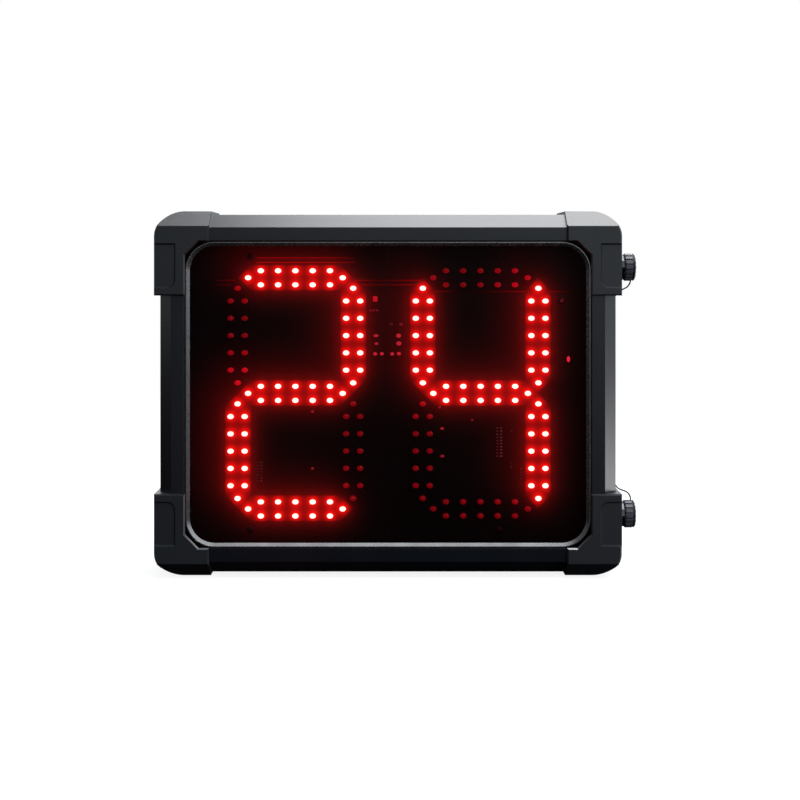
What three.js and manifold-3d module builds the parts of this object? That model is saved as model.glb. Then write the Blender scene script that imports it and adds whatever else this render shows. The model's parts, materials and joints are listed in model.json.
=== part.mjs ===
// A two-digit shot clock: an aluminium frame with moulded corner guards, a dark front panel,
// LED boards behind it, a rear cover, and two sockets with tethered dust caps on its right side.
// Millimetres, +Z up, the front faces -Y. Sizes are set about the middle of the body.

import * as THREE from 'three';
import { mergeVertices } from 'three/addons/utils/BufferGeometryUtils.js';
import Module from 'manifold-3d';

const wasm = await Module();
wasm.setup();

// Overall sizes, over the corner guards
const BODY_WIDTH = 375;
const BODY_HEIGHT = 295;
const BODY_DEPTH = 70;

// Shared allowances
const FIT = 0.3;
const OVERRUN = 3;

// Frame rails: one extruded section on all four sides
const RAIL_SIDE_INSET = 2.8;
const RAIL_FACE_INSET = 2.5;
const RAIL_WALL = 1.8;
const RAIL_BAND = 22;
const RAIL_LIP_CHAMFER = 1;
const RAIL_TUBE = 13.5;
const FRONT_CHAMFER_WIDTH = 10.5;
const FRONT_CHAMFER_DEPTH = 11.5;
const REAR_CHAMFER = 5;
const FRONT_FLANGE = 2;
const PANEL_RIB_REACH = 3.5;
const PANEL_RIB_THICKNESS = 1.6;
const COVER_FLANGE_THICKNESS = 2;

// Front panel and the bezel that borders it
const PANEL_THICKNESS = 3;
const BEZEL_WIDTH = 3.2;
const BEZEL_CORNER_RADIUS = 23;
const BEZEL_SLOPE_WIDTH = 2.5;
const BEZEL_SLOPE_HEIGHT = 1.5;

// Corner guards
const GUARD_CORNER_ALONG = 22;
const GUARD_CORNER_DOWN = 20;
const GUARD_CORNER_PULL_SHARE = 0.5;
const GUARD_TOP_ARM = 44;
const GUARD_SIDE_ARM = 68;
const GUARD_GUSSET = 11;
const GUARD_EDGE = 1.1;
const POCKET_WIDTH = 17.3;
const POCKET_TOP_FROM_CORNER = 26.1;
const POCKET_HEIGHT = 36;
const POCKET_DEPTH = 1.2;
const POCKET_RADIUS = 6.5;
const POCKET_SLOPE = 1.2;

// Corner keys that join the rails
const KEY_PRONG_LENGTH = 25;
const KEY_PRONG_GAP = 26;

// Rear cover, its seal, screws and hangers
const COVER_RECESS = 6.5;
const COVER_THICKNESS = 1.5;
const SEAL_THICKNESS = 1;
const SEAL_WIDTH = 6.5;
const COVER_SCREW_INSET = 17.4;
const COVER_SCREW_SHARES = [-0.62, 0.62];
const COVER_SCREW_HEAD_RADIUS = 3;
const COVER_SCREW_HEAD_HEIGHT = 2;
const COVER_SCREW_SHANK_RADIUS = 1.4;
const COVER_SCREW_LENGTH = 8;
const HANGER_FROM_SIDE = 70.9;
const HANGER_FROM_TOP = 48.9;
const HANGER_WIDTH = 52;
const HANGER_HEIGHT = 44;
const HANGER_RAISED_WIDTH = 28;
const HANGER_THICKNESS = 1.5;
const HANGER_RISE = 5.7;
const KEYHOLE_RADIUS = 5;
const KEYHOLE_SLOT_WIDTH = 5.2;
const KEYHOLE_SLOT_LENGTH = 13;
const SOUND_HOLE_RADIUS = 1.6;
const SOUND_HOLE_RING = 9;
const SOUND_HOLE_COUNT = 8;

// Digits: seven segments, each with five pairs of LEDs and one LED at each end
const DIGIT_SPACING_SHARE = 0.4;
const SEGMENT_SPACING_SHARE = 0.3173;
const LED_PITCH_SHARE = 0.1496;
const LED_ROW_GAP_SHARE = 0.1218;
const LED_END_STEP_SHARE = 0.11;
const LED_PAIRS = 5;
const LED_WIDTH = 5.2;
const LED_DEPTH = 4.1;
const LED_BARREL = 3.2;
const LED_DOME = 2.3;

// LED boards and the bars that carry them
const BOARD_FRONT_DEPTH = 15.5;
const BOARD_THICKNESS = 1.6;
const BOARD_EDGE_GAP = 3.2;
const BAR_FROM_BOARD_END = 17;
const BAR_WIDTH = 13;
const BAR_WALL = 1.5;
const BAR_DEPTH = 9;
const BOARD_SCREW_HEAD_RADIUS = 2.8;
const BOARD_SCREW_HEAD_HEIGHT = 1.8;
const BOARD_SCREW_SHANK_RADIUS = 1.4;
const BOARD_SCREW_LENGTH = 6;
const LEFT_BOARD_SCREW_X = -112;
const RIGHT_BOARD_SCREW_X = 90;
const HEADER_WIDTH = 28;
const HEADER_HEIGHT = 8;
const HEADER_DEPTH = 6;

// Control board, power module and horn on the rear cover
const STUD_RADIUS = 2.6;
const STUD_LENGTH = 9;
const CONTROL_WIDTH = 104;
const CONTROL_HEIGHT = 64;
const CONTROL_X = -62;
const CONTROL_Z = 34;
const CONTROL_STUD_INSET = 6;
const CHIP_WIDTH = 18;
const CHIP_HEIGHT = 12;
const CHIP_DEPTH = 2.6;
// In chip widths and heights from the board's middle
const CHIP_PLACE_SHARES = [[-1.4, 1], [0, 1], [-1.4, -1], [1.4, -1]];
const POWER_WIDTH = 150;
const POWER_HEIGHT = 54;
const POWER_DEPTH = 26;
const POWER_X = 10;
const POWER_Z = -68;
const POWER_RADIUS = 4;
const HORN_X = 72;
const HORN_Z = 34;
const HORN_RADIUS = 24;
const HORN_RIM_RADIUS = 27;
const HORN_RIM_THICKNESS = 3;
const HORN_DEPTH = 16;

// Sockets and dust caps on the right side
const SOCKET_FROM_END = 45.5;
const BARREL_RADIUS = 8.5;
const BARREL_CHAMFER = 0.5;
const SOCKET_FLANGE_RADIUS = 10.4;
const SOCKET_FLANGE_THICKNESS = 2.7;
const SOCKET_TAIL_RADIUS = 6.4;
const SOCKET_TAIL_LENGTH = 10;
const SOCKET_REACH = 12.3;
const SOCKET_BORE_RADIUS = 6.4;
const INSERT_RECESS = 7.6;
const INSERT_LENGTH = 10;
const NUT_RADIUS = 10.6;
const NUT_THICKNESS = 5;
const NUT_SIDES = 6;
const GASKET_THICKNESS = 1;
const CAP_RADIUS = 11.3;
const CAP_GRIP_DEPTH = 1;
const CAP_GRIPS = 16;
const CAP_RIB_SHARES = [-0.3, 0.26];
const CAP_VALLEY_SHARES = [0.38, 0.58];
const CAP_MOUTH_REACH = 7.1;
const CAP_LENGTH = 9;
const CAP_END_WALL = 2.3;
const CAP_ROUNDING = 1;
const CAP_GROOVE_WIDTH = 1.5;
const CAP_GROOVE_DEPTH = 1.9;
const CAP_LIP = 1.1;
const CAP_SEAL_THICKNESS = 1;
const TETHER_RING_SECTION = 0.9;

// Tethers: a thin flexible cord from each cap's ring to an anchor screw on the rail
const TETHER_RADIUS = 0.6;
const TETHER_SIDES = 8;
const TETHER_STEPS = 20;
// Each point: outwards from the body's side, towards the back, and in from the nearer end of the body
const TETHER_ROUTE = [
  [14.45, 8.1, 54.1],
  [13.8, 8.6, 56.5],
  [12.4, 8.4, 58.9],
  [10.2, 7.5, 60.8],
  [7.7, 6.2, 62.2],
  [5.1, 4.8, 63.6],
  [2.8, 3.4, 65.5],
  [1.1, 2.1, 68.1],
  [-0.2, 0.9, 71],
  [-0.9, 0.1, 74],
];
const ANCHOR_FROM_END = 78;
const ANCHOR_RADIUS = 3.6;
const ANCHOR_LENGTH = 8;
const ANCHOR_HEAD_HEIGHT = 2.2;
const ANCHOR_SHANK_RADIUS = 1.4;

// Wiring inside the housing
const LEAD_RADIUS = 2.4;
const LEAD_SIDES = 6;
const LEAD_STEPS = 14;
const RIBBON_WIDTH = 24;
const RIBBON_THICKNESS = 1.2;
const RIBBON_RISE = 2;

// Places worked out from the sizes above
const HALF_WIDTH = BODY_WIDTH / 2;
const HALF_HEIGHT = BODY_HEIGHT / 2;
const HALF_DEPTH = BODY_DEPTH / 2;
const RAIL_SIDE = HALF_WIDTH - RAIL_SIDE_INSET;
const RAIL_TOP = HALF_HEIGHT - RAIL_SIDE_INSET;
const RAIL_FRONT = -HALF_DEPTH + RAIL_FACE_INSET;
const RAIL_BACK = HALF_DEPTH - RAIL_FACE_INSET;
const RAIL_DEPTH = RAIL_BACK - RAIL_FRONT;
const GUARD_CORNER_REACH = Math.max(GUARD_CORNER_ALONG, GUARD_CORNER_DOWN) - RAIL_SIDE_INSET;
const RAIL_END_GAP = Math.max(GUARD_CORNER_REACH, RAIL_BAND) + FIT;
const WINDOW_SIDE = RAIL_SIDE - RAIL_BAND;
const WINDOW_TOP = RAIL_TOP - RAIL_BAND;
const PANEL_FRONT = RAIL_FRONT + FRONT_FLANGE + FIT;
const PANEL_BACK = PANEL_FRONT + PANEL_THICKNESS;
const COVER_BACK = RAIL_BACK - COVER_RECESS;
const COVER_FRONT = COVER_BACK - COVER_THICKNESS;
const SEAL_FRONT = COVER_FRONT - FIT - SEAL_THICKNESS;
const FLANGE_BACK = SEAL_FRONT - FIT;
const COVER_SIDE = RAIL_SIDE - RAIL_TUBE - FIT;
const COVER_TOP = RAIL_TOP - RAIL_TUBE - FIT;
const HANGER_X = COVER_SIDE - HANGER_FROM_SIDE;
const HANGER_Z = COVER_TOP - HANGER_FROM_TOP;
const DIGIT_SPACING = DIGIT_SPACING_SHARE * BODY_WIDTH;
const SEGMENT_SPACING = SEGMENT_SPACING_SHARE * BODY_HEIGHT;
const LED_PITCH = LED_PITCH_SHARE * SEGMENT_SPACING;
const LED_ROW_GAP = LED_ROW_GAP_SHARE * SEGMENT_SPACING;
const LED_END_STEP = LED_END_STEP_SHARE * SEGMENT_SPACING;
const BOARD_FRONT = -HALF_DEPTH + BOARD_FRONT_DEPTH;
const BOARD_BACK = BOARD_FRONT + BOARD_THICKNESS;
const BOARD_OUTER_EDGE = RAIL_SIDE - RAIL_TUBE - BOARD_EDGE_GAP;
const BOARD_HALF_HEIGHT = RAIL_TOP - RAIL_TUBE - BOARD_EDGE_GAP;
const BAR_HEIGHT_ABOVE_MIDDLE = BOARD_HALF_HEIGHT - BAR_FROM_BOARD_END;
const CONTROL_BACK = COVER_FRONT - STUD_LENGTH;
const CONTROL_FRONT = CONTROL_BACK - BOARD_THICKNESS;
const SOCKET_HEIGHT = HALF_HEIGHT - SOCKET_FROM_END;
const ANCHOR_HEIGHT = HALF_HEIGHT - ANCHOR_FROM_END;
const CAP_MOUTH = HALF_WIDTH + CAP_MOUTH_REACH;
const CAP_END = CAP_MOUTH + CAP_LENGTH;
const BARREL_END = HALF_WIDTH + SOCKET_REACH;
const ROUND = 20;

const COLOURS = {
  aluminium: { color: 0x1b1d22, roughness: 0.42, metalness: 0.75 },
  guard: { color: 0x24272c, roughness: 0.55, metalness: 0 },
  key: { color: 0x34363a, roughness: 0.6, metalness: 0 },
  panel: { color: 0x0a0304, roughness: 0.08, metalness: 0 },
  bezel: { color: 0x3a3a3d, roughness: 0.4, metalness: 0.4 },
  steel: { color: 0x8d9094, roughness: 0.35, metalness: 0.9 },
  nickel: { color: 0xc4c5c6, roughness: 0.25, metalness: 1 },
  cover: { color: 0x202226, roughness: 0.5, metalness: 0.6 },
  rubber: { color: 0x121212, roughness: 0.85, metalness: 0 },
  board: { color: 0x0b100c, roughness: 0.5, metalness: 0 },
  control: { color: 0x123a22, roughness: 0.5, metalness: 0 },
  casing: { color: 0x18191b, roughness: 0.6, metalness: 0 },
  insert: { color: 0x1c1c1e, roughness: 0.6, metalness: 0 },
  cable: { color: 0x151515, roughness: 0.6, metalness: 0 },
  ribbon: { color: 0x8a8c90, roughness: 0.55, metalness: 0 },
};

const clock = new THREE.Group();
clock.name = 'shot_clock';

// Solid modelling helpers

function signedVolume(points, faces) {
  const a = new THREE.Vector3();
  const b = new THREE.Vector3();
  const c = new THREE.Vector3();
  let sum = 0;
  for (let i = 0; i < faces.length; i += 3) {
    a.fromArray(points, 3 * faces[i]);
    b.fromArray(points, 3 * faces[i + 1]);
    c.fromArray(points, 3 * faces[i + 2]);
    sum += a.dot(b.cross(c));
  }
  return sum;
}

// Welds a geometry into a solid and turns its faces outwards
function solid(geometry) {
  const bare = geometry.clone();
  bare.deleteAttribute('normal');
  bare.deleteAttribute('uv');
  const merged = mergeVertices(bare);
  const points = Float32Array.from(merged.attributes.position.array);
  const faces = Uint32Array.from(merged.index.array);
  if (signedVolume(points, faces) < 0) faces.reverse();
  return new wasm.Manifold(new wasm.Mesh({ numProp: 3, vertProperties: points, triVerts: faces }));
}

function surface(body) {
  const mesh = body.getMesh();
  const geometry = new THREE.BufferGeometry();
  geometry.setAttribute('position', new THREE.Float32BufferAttribute(mesh.vertProperties, 3));
  geometry.setIndex(Array.from(mesh.triVerts));
  geometry.computeVertexNormals();
  return geometry;
}

function joined(bodies) {
  return bodies.reduce((whole, body) => whole.add(body));
}

function cut(body, tools) {
  return tools.reduce((rest, tool) => rest.subtract(tool), body);
}

function shapeOf(points) {
  return new THREE.Shape(points.map(([x, y]) => new THREE.Vector2(x, y)));
}

function circle(x, y, radius) {
  const path = new THREE.Shape();
  path.absarc(x, y, radius, 0, 2 * Math.PI);
  return path;
}

function rectangle(x0, y0, x1, y1) {
  return shapeOf([[x0, y0], [x1, y0], [x1, y1], [x0, y1]]);
}

function roundedRectangle(halfX, halfY, radius) {
  const shape = new THREE.Shape();
  shape.moveTo(halfX, -halfY + radius);
  shape.absarc(halfX - radius, halfY - radius, radius, 0, Math.PI / 2);
  shape.absarc(-halfX + radius, halfY - radius, radius, Math.PI / 2, Math.PI);
  shape.absarc(-halfX + radius, -halfY + radius, radius, Math.PI, 1.5 * Math.PI);
  shape.absarc(halfX - radius, -halfY + radius, radius, 1.5 * Math.PI, 2 * Math.PI);
  return shape;
}

// Extrudes a shape drawn in X and Z from the front y0 to the back y1
function alongY(shape, y0, y1, curveSegments = 8) {
  const geometry = new THREE.ExtrudeGeometry(shape, { depth: y1 - y0, bevelEnabled: false, curveSegments });
  geometry.rotateX(Math.PI / 2);
  geometry.translate(0, y1, 0);
  return solid(geometry);
}

// Extrudes a shape drawn in Y and Z from x0 to x1
function alongX(shape, x0, x1, curveSegments = 8) {
  const geometry = new THREE.ExtrudeGeometry(shape, { depth: x1 - x0, bevelEnabled: false, curveSegments });
  geometry.applyMatrix4(new THREE.Matrix4().makeBasis(
    new THREE.Vector3(0, 1, 0), new THREE.Vector3(0, 0, 1), new THREE.Vector3(1, 0, 0)));
  geometry.translate(x0, 0, 0);
  return solid(geometry);
}

// Extrudes a shape drawn in X and Y from z0 to z1
function alongZ(shape, z0, z1, curveSegments = 8) {
  const geometry = new THREE.ExtrudeGeometry(shape, { depth: z1 - z0, bevelEnabled: false, curveSegments });
  geometry.translate(0, 0, z0);
  return solid(geometry);
}

// Revolves a profile of [distance along X, radius] about the X axis
function turnedX(profile, segments = ROUND) {
  const points = profile.map(([x, radius]) => new THREE.Vector2(radius, x));
  const geometry = new THREE.LatheGeometry(points, segments);
  geometry.rotateZ(-Math.PI / 2);
  return solid(geometry);
}

// Revolves a profile of [distance along Y, radius] about the Y axis
function turnedY(profile, segments = ROUND) {
  const points = profile.map(([y, radius]) => new THREE.Vector2(radius, y));
  return solid(new THREE.LatheGeometry(points, segments));
}

function swept(points, radius, sides, steps) {
  const path = new THREE.CatmullRomCurve3(points.map((p) => new THREE.Vector3(...p)));
  const section = new THREE.Shape();
  for (let i = 0; i < sides; i += 1) {
    const angle = (2 * Math.PI * i) / sides;
    const x = radius * Math.cos(angle);
    const y = radius * Math.sin(angle);
    if (i === 0) section.moveTo(x, y);
    else section.lineTo(x, y);
  }
  return solid(new THREE.ExtrudeGeometry(section, { extrudePath: path, steps, bevelEnabled: false }));
}

function moved(body, x, y, z) {
  const geometry = surface(body);
  geometry.translate(x, y, z);
  return solid(geometry);
}

function add(name, body, look, place = [0, 0, 0], turn = 0) {
  const mesh = new THREE.Mesh(surface(body), new THREE.MeshStandardMaterial(COLOURS[look]));
  mesh.name = name;
  mesh.position.set(...place);
  mesh.rotation.y = turn;
  clock.add(mesh);
}

// The chamfer of the rail section, moved outwards, meets a face plane and a side plane
function chamferEnds(width, depth, shiftOut, sidePlane, facePlane) {
  const level = 1 + shiftOut * Math.hypot(1 / width, 1 / depth);
  return {
    alongFace: width * (1 - facePlane / depth) - width * (level - 1),
    alongSide: depth * (1 - sidePlane / width) - depth * (level - 1),
  };
}

// Keeps the stretch of a convex outline that lies no further inwards than a limit
function clippedInwards(points, limit) {
  const kept = [];
  points.forEach(([u, v], i) => {
    const [nextU, nextV] = points[(i + 1) % points.length];
    if (u <= limit) kept.push([u, v]);
    if ((u - limit) * (nextU - limit) < 0) {
      kept.push([limit, v + ((nextV - v) * (limit - u)) / (nextU - u)]);
    }
  });
  return kept;
}

// The closed outline of the rail's tube in [inwards, from the front], grown or shrunk all round
function tubeOutline(grow, inner = RAIL_TUBE + grow) {
  const front = chamferEnds(FRONT_CHAMFER_WIDTH, FRONT_CHAMFER_DEPTH, grow, -grow, -grow);
  const rear = chamferEnds(REAR_CHAMFER, REAR_CHAMFER, grow, -grow, -grow);
  return clippedInwards([
    [front.alongFace, -grow],
    [BODY_WIDTH, -grow],
    [BODY_WIDTH, RAIL_DEPTH + grow],
    [rear.alongFace, RAIL_DEPTH + grow],
    [-grow, RAIL_DEPTH - rear.alongSide],
    [-grow, front.alongSide],
  ], inner);
}

// Places a section over the top rail, drawn in Y and Z, or over the side rail, drawn in X and Y
function atTop(points) {
  return shapeOf(points.map(([inwards, depth]) => [RAIL_FRONT + depth, RAIL_TOP - inwards]));
}

function atSide(points) {
  return shapeOf(points.map(([inwards, depth]) => [RAIL_SIDE - inwards, RAIL_FRONT + depth]));
}

// Frame rails

function railSection() {
  const outside = tubeOutline(0, RAIL_BAND);
  const [faceStart] = outside;
  const [rearStart, rearSide, frontSide] = outside.slice(-3);
  const ribFront = PANEL_BACK + FIT - RAIL_FRONT;
  const ribBack = ribFront + PANEL_RIB_THICKNESS;
  const flangeBack = FLANGE_BACK - RAIL_FRONT;
  const flangeFront = flangeBack - COVER_FLANGE_THICKNESS;
  const section = shapeOf([
    faceStart,
    [RAIL_BAND - RAIL_LIP_CHAMFER, 0],
    [RAIL_BAND, RAIL_LIP_CHAMFER],
    [RAIL_BAND, FRONT_FLANGE],
    [RAIL_TUBE, FRONT_FLANGE],
    [RAIL_TUBE, ribFront],
    [RAIL_TUBE + PANEL_RIB_REACH, ribFront],
    [RAIL_TUBE + PANEL_RIB_REACH, ribBack],
    [RAIL_TUBE, ribBack],
    [RAIL_TUBE, flangeFront],
    [RAIL_BAND, flangeFront],
    [RAIL_BAND, flangeBack],
    [RAIL_TUBE, flangeBack],
    [RAIL_TUBE, RAIL_DEPTH],
    rearStart,
    rearSide,
    frontSide,
  ].map(([inwards, depth]) => [RAIL_FRONT + depth, -inwards]));
  section.holes.push(shapeOf(tubeOutline(-RAIL_WALL)
    .map(([inwards, depth]) => [RAIL_FRONT + depth, -inwards])));
  return section;
}

// A rail lies along X with its outer face at Z = 0, until it is turned to its side of the frame
function rail(halfLength, screwPlaces, sideHoles = []) {
  const screwHoles = screwPlaces.map((x) => alongY(
    circle(x, -COVER_SCREW_INSET, COVER_SCREW_SHANK_RADIUS + FIT),
    FLANGE_BACK - COVER_FLANGE_THICKNESS - OVERRUN, FLANGE_BACK + FIT, 3));
  return cut(alongX(railSection(), -halfLength, halfLength), [...screwHoles, ...sideHoles]);
}

function screwPlacesAlong(half) {
  return COVER_SCREW_SHARES.map((share) => share * half);
}

const TOP_RAIL_HALF = RAIL_SIDE - RAIL_END_GAP;
const SIDE_RAIL_HALF = RAIL_TOP - RAIL_END_GAP;

// Holes in the right rail for the sockets and the tether anchors, in the frame of a rail along X
function socketHoles() {
  const holes = [];
  for (const level of [-1, 1]) {
    const outer = RAIL_WALL + OVERRUN / 2;
    holes.push(alongZ(circle(level * SOCKET_HEIGHT, 0, BARREL_RADIUS + FIT), -outer, OVERRUN, 6));
    holes.push(alongZ(circle(level * SOCKET_HEIGHT, 0, SOCKET_FLANGE_RADIUS + FIT),
      -RAIL_TUBE - OVERRUN, -RAIL_TUBE + RAIL_WALL + OVERRUN / 2, 6));
    holes.push(alongZ(circle(level * ANCHOR_HEIGHT, 0, ANCHOR_SHANK_RADIUS + FIT), -outer, OVERRUN, 3));
  }
  return holes;
}

function addRails() {
  const topScrews = screwPlacesAlong(TOP_RAIL_HALF);
  const sideScrews = screwPlacesAlong(SIDE_RAIL_HALF);
  add('top_rail', rail(TOP_RAIL_HALF, topScrews), 'aluminium', [0, 0, RAIL_TOP]);
  add('bottom_rail', rail(TOP_RAIL_HALF, topScrews), 'aluminium', [0, 0, -RAIL_TOP], Math.PI);
  add('left_rail', rail(SIDE_RAIL_HALF, sideScrews), 'aluminium', [-RAIL_SIDE, 0, 0], -Math.PI / 2);
  add('right_rail', rail(SIDE_RAIL_HALF, sideScrews, socketHoles()), 'aluminium',
    [RAIL_SIDE, 0, 0], Math.PI / 2);
}

// Corner guards and keys are drawn for the upper right corner and mirrored to the others

const CORNERS = [
  { name: 'upper_right', side: 1, level: 1 },
  { name: 'upper_left', side: -1, level: 1 },
  { name: 'lower_right', side: 1, level: -1 },
  { name: 'lower_left', side: -1, level: -1 },
];

function mirrored(body, side, level) {
  const geometry = surface(body);
  geometry.scale(side, 1, level);
  return solid(geometry);
}

function outerCorner(shape, inset) {
  const side = HALF_WIDTH - inset;
  const top = HALF_HEIGHT - inset;
  const along = GUARD_CORNER_ALONG - inset;
  const down = GUARD_CORNER_DOWN - inset;
  shape.lineTo(side - along, top);
  shape.bezierCurveTo(
    side - along * (1 - GUARD_CORNER_PULL_SHARE), top,
    side, top - down * (1 - GUARD_CORNER_PULL_SHARE),
    side, top - down);
}

function guardOutline() {
  const armEnd = HALF_WIDTH - GUARD_TOP_ARM;
  const shape = new THREE.Shape();
  shape.moveTo(armEnd, WINDOW_TOP);
  shape.lineTo(armEnd, HALF_HEIGHT);
  outerCorner(shape, 0);
  shape.lineTo(HALF_WIDTH, HALF_HEIGHT - GUARD_SIDE_ARM);
  shape.lineTo(WINDOW_SIDE, HALF_HEIGHT - GUARD_SIDE_ARM);
  shape.lineTo(WINDOW_SIDE, WINDOW_TOP - GUARD_GUSSET);
  shape.lineTo(WINDOW_SIDE - GUARD_GUSSET, WINDOW_TOP);
  return shape;
}

function guardChamfer(width, depth) {
  return chamferEnds(width, depth, RAIL_FACE_INSET, -RAIL_SIDE_INSET, -RAIL_FACE_INSET);
}

// A prism with the guards' front and rear chamfers on its top side only
function guardEnvelope() {
  const front = guardChamfer(FRONT_CHAMFER_WIDTH, FRONT_CHAMFER_DEPTH);
  const rear = guardChamfer(REAR_CHAMFER, REAR_CHAMFER);
  const section = [
    [front.alongFace, -RAIL_FACE_INSET],
    [RAIL_TOP, -RAIL_FACE_INSET],
    [RAIL_TOP, RAIL_DEPTH + RAIL_FACE_INSET],
    [rear.alongFace, RAIL_DEPTH + RAIL_FACE_INSET],
    [-RAIL_SIDE_INSET, RAIL_DEPTH - rear.alongSide],
    [-RAIL_SIDE_INSET, front.alongSide],
  ];
  return alongX(atTop(section), 0, HALF_WIDTH + OVERRUN);
}

// The space of the frame inside a guard: the rails' outer form with the guard's rounded corner
function frameCore(grow) {
  const outline = new THREE.Shape();
  outline.moveTo(0, 0);
  outline.lineTo(0, RAIL_TOP + grow);
  outerCorner(outline, RAIL_SIDE_INSET - grow);
  outline.lineTo(RAIL_SIDE + grow, 0);
  const block = alongY(outline, RAIL_FRONT - grow, RAIL_BACK + grow);
  const overTop = alongX(atTop(tubeOutline(grow, RAIL_TOP)), -OVERRUN, HALF_WIDTH + OVERRUN);
  const overSide = alongZ(atSide(tubeOutline(grow, RAIL_SIDE)), -OVERRUN, HALF_HEIGHT + OVERRUN);
  return block.intersect(overTop).intersect(overSide);
}

// The outline's edges are broken by a small bevel at the front and back faces
function beveledBlock(shape) {
  const geometry = new THREE.ExtrudeGeometry(shape, {
    depth: BODY_DEPTH - 2 * GUARD_EDGE,
    bevelThickness: GUARD_EDGE,
    bevelSize: GUARD_EDGE,
    bevelOffset: -GUARD_EDGE,
    bevelSegments: 1,
    curveSegments: 10,
  });
  geometry.rotateX(Math.PI / 2);
  geometry.translate(0, HALF_DEPTH - GUARD_EDGE, 0);
  return solid(geometry);
}

// A shallow pocket in the front face, open at the outer side, with sloping walls
function pocketCut() {
  const inner = HALF_WIDTH - POCKET_WIDTH;
  const outer = HALF_WIDTH + OVERRUN;
  const top = HALF_HEIGHT - POCKET_TOP_FROM_CORNER;
  const bottom = top - POCKET_HEIGHT;
  const face = new THREE.Shape();
  face.moveTo(outer, top);
  face.lineTo(inner, top);
  face.lineTo(inner, bottom + POCKET_RADIUS);
  face.absarc(inner + POCKET_RADIUS, bottom + POCKET_RADIUS, POCKET_RADIUS, Math.PI, 1.5 * Math.PI);
  face.lineTo(outer, bottom);
  const geometry = new THREE.ExtrudeGeometry(face, {
    depth: POCKET_DEPTH,
    bevelThickness: POCKET_DEPTH,
    bevelSize: POCKET_SLOPE,
    bevelOffset: -POCKET_SLOPE,
    bevelSegments: 1,
    curveSegments: 5,
  });
  geometry.rotateX(Math.PI / 2);
  geometry.translate(0, -HALF_DEPTH, 0);
  return solid(geometry);
}

function guard(hasSocket) {
  const behindRear = alongY(rectangle(0, 0, RAIL_SIDE - RAIL_TUBE, RAIL_TOP - RAIL_TUBE),
    0, HALF_DEPTH + OVERRUN);
  const shell = cut(beveledBlock(guardOutline()).intersect(guardEnvelope()),
    [frameCore(FIT), behindRear, pocketCut()]);
  if (!hasSocket) return shell;
  const socket = circle(0, SOCKET_HEIGHT, BARREL_RADIUS + FIT);
  return shell.subtract(alongX(socket, RAIL_SIDE - OVERRUN, HALF_WIDTH + OVERRUN));
}

// A prong is the tube's inner outline less a clearance, split by a gap so that a socket can pass
function prongOutline() {
  return tubeOutline(-RAIL_WALL - FIT);
}

function key() {
  const sideEnd = RAIL_SIDE - RAIL_END_GAP + FIT;
  const topEnd = RAIL_TOP - RAIL_END_GAP + FIT;
  const corner = alongY(rectangle(sideEnd, topEnd, HALF_WIDTH, HALF_HEIGHT),
    -HALF_DEPTH - OVERRUN, HALF_DEPTH + OVERRUN);
  const open = alongY(rectangle(0, 0, RAIL_SIDE - RAIL_TUBE, RAIL_TOP - RAIL_TUBE),
    -HALF_DEPTH - OVERRUN, HALF_DEPTH + OVERRUN);
  const block = frameCore(0).intersect(corner).subtract(open);
  const gap = rectangle(-OVERRUN, -KEY_PRONG_GAP / 2, HALF_WIDTH, KEY_PRONG_GAP / 2);
  const split = alongZ(gap, 0, topEnd);
  const splitTop = alongX(rectangle(-KEY_PRONG_GAP / 2, 0, KEY_PRONG_GAP / 2, HALF_HEIGHT), 0, sideEnd);
  const alongTop = alongX(atTop(prongOutline()), sideEnd - KEY_PRONG_LENGTH, sideEnd + OVERRUN);
  const alongSide = alongZ(atSide(prongOutline()), topEnd - KEY_PRONG_LENGTH, topEnd + OVERRUN);
  return cut(joined([block, alongTop, alongSide]), [split, splitTop]);
}

function addCorners() {
  for (const { name, side, level } of CORNERS) {
    add(`${name}_guard`, mirrored(guard(side > 0), side, level), 'guard');
    add(`${name}_key`, mirrored(key(), side, level), 'key');
  }
}

// Front panel and bezel

function addFront() {
  const side = RAIL_SIDE - RAIL_TUBE - FIT;
  const top = RAIL_TOP - RAIL_TUBE - FIT;
  add('front_panel', alongY(rectangle(-side, -top, side, top), PANEL_FRONT, PANEL_BACK), 'panel');
  add('panel_bezel', bezel(), 'bezel');
}

// A flat rim with a slope that falls inwards to the panel
function bezel() {
  const outerX = WINDOW_SIDE - FIT;
  const outerZ = WINDOW_TOP - FIT;
  const innerRadius = BEZEL_CORNER_RADIUS - BEZEL_WIDTH;
  const inner = roundedRectangle(outerX - BEZEL_WIDTH, outerZ - BEZEL_WIDTH, innerRadius);
  const back = PANEL_FRONT - FIT;
  const front = RAIL_FRONT;
  const slopeBack = front + BEZEL_SLOPE_HEIGHT;
  const blank = alongY(roundedRectangle(outerX, outerZ, BEZEL_CORNER_RADIUS), front, back);
  const slope = new THREE.ExtrudeGeometry(inner, {
    depth: OVERRUN,
    bevelThickness: BEZEL_SLOPE_HEIGHT,
    bevelSize: BEZEL_SLOPE_WIDTH,
    bevelSegments: 1,
    curveSegments: 8,
  });
  slope.rotateX(Math.PI / 2);
  slope.translate(0, front, 0);
  const through = alongY(inner, slopeBack - OVERRUN, back + OVERRUN);
  return cut(blank, [solid(slope), through]);
}

// Rear cover and what is fixed to it

function coverScrewPlaces() {
  const top = RAIL_TOP - COVER_SCREW_INSET;
  const right = RAIL_SIDE - COVER_SCREW_INSET;
  return [-1, 1].flatMap((side) => [
    ...screwPlacesAlong(TOP_RAIL_HALF).map((x) => [x, side * top]),
    ...screwPlacesAlong(SIDE_RAIL_HALF).map((z) => [side * right, z]),
  ]);
}

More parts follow.
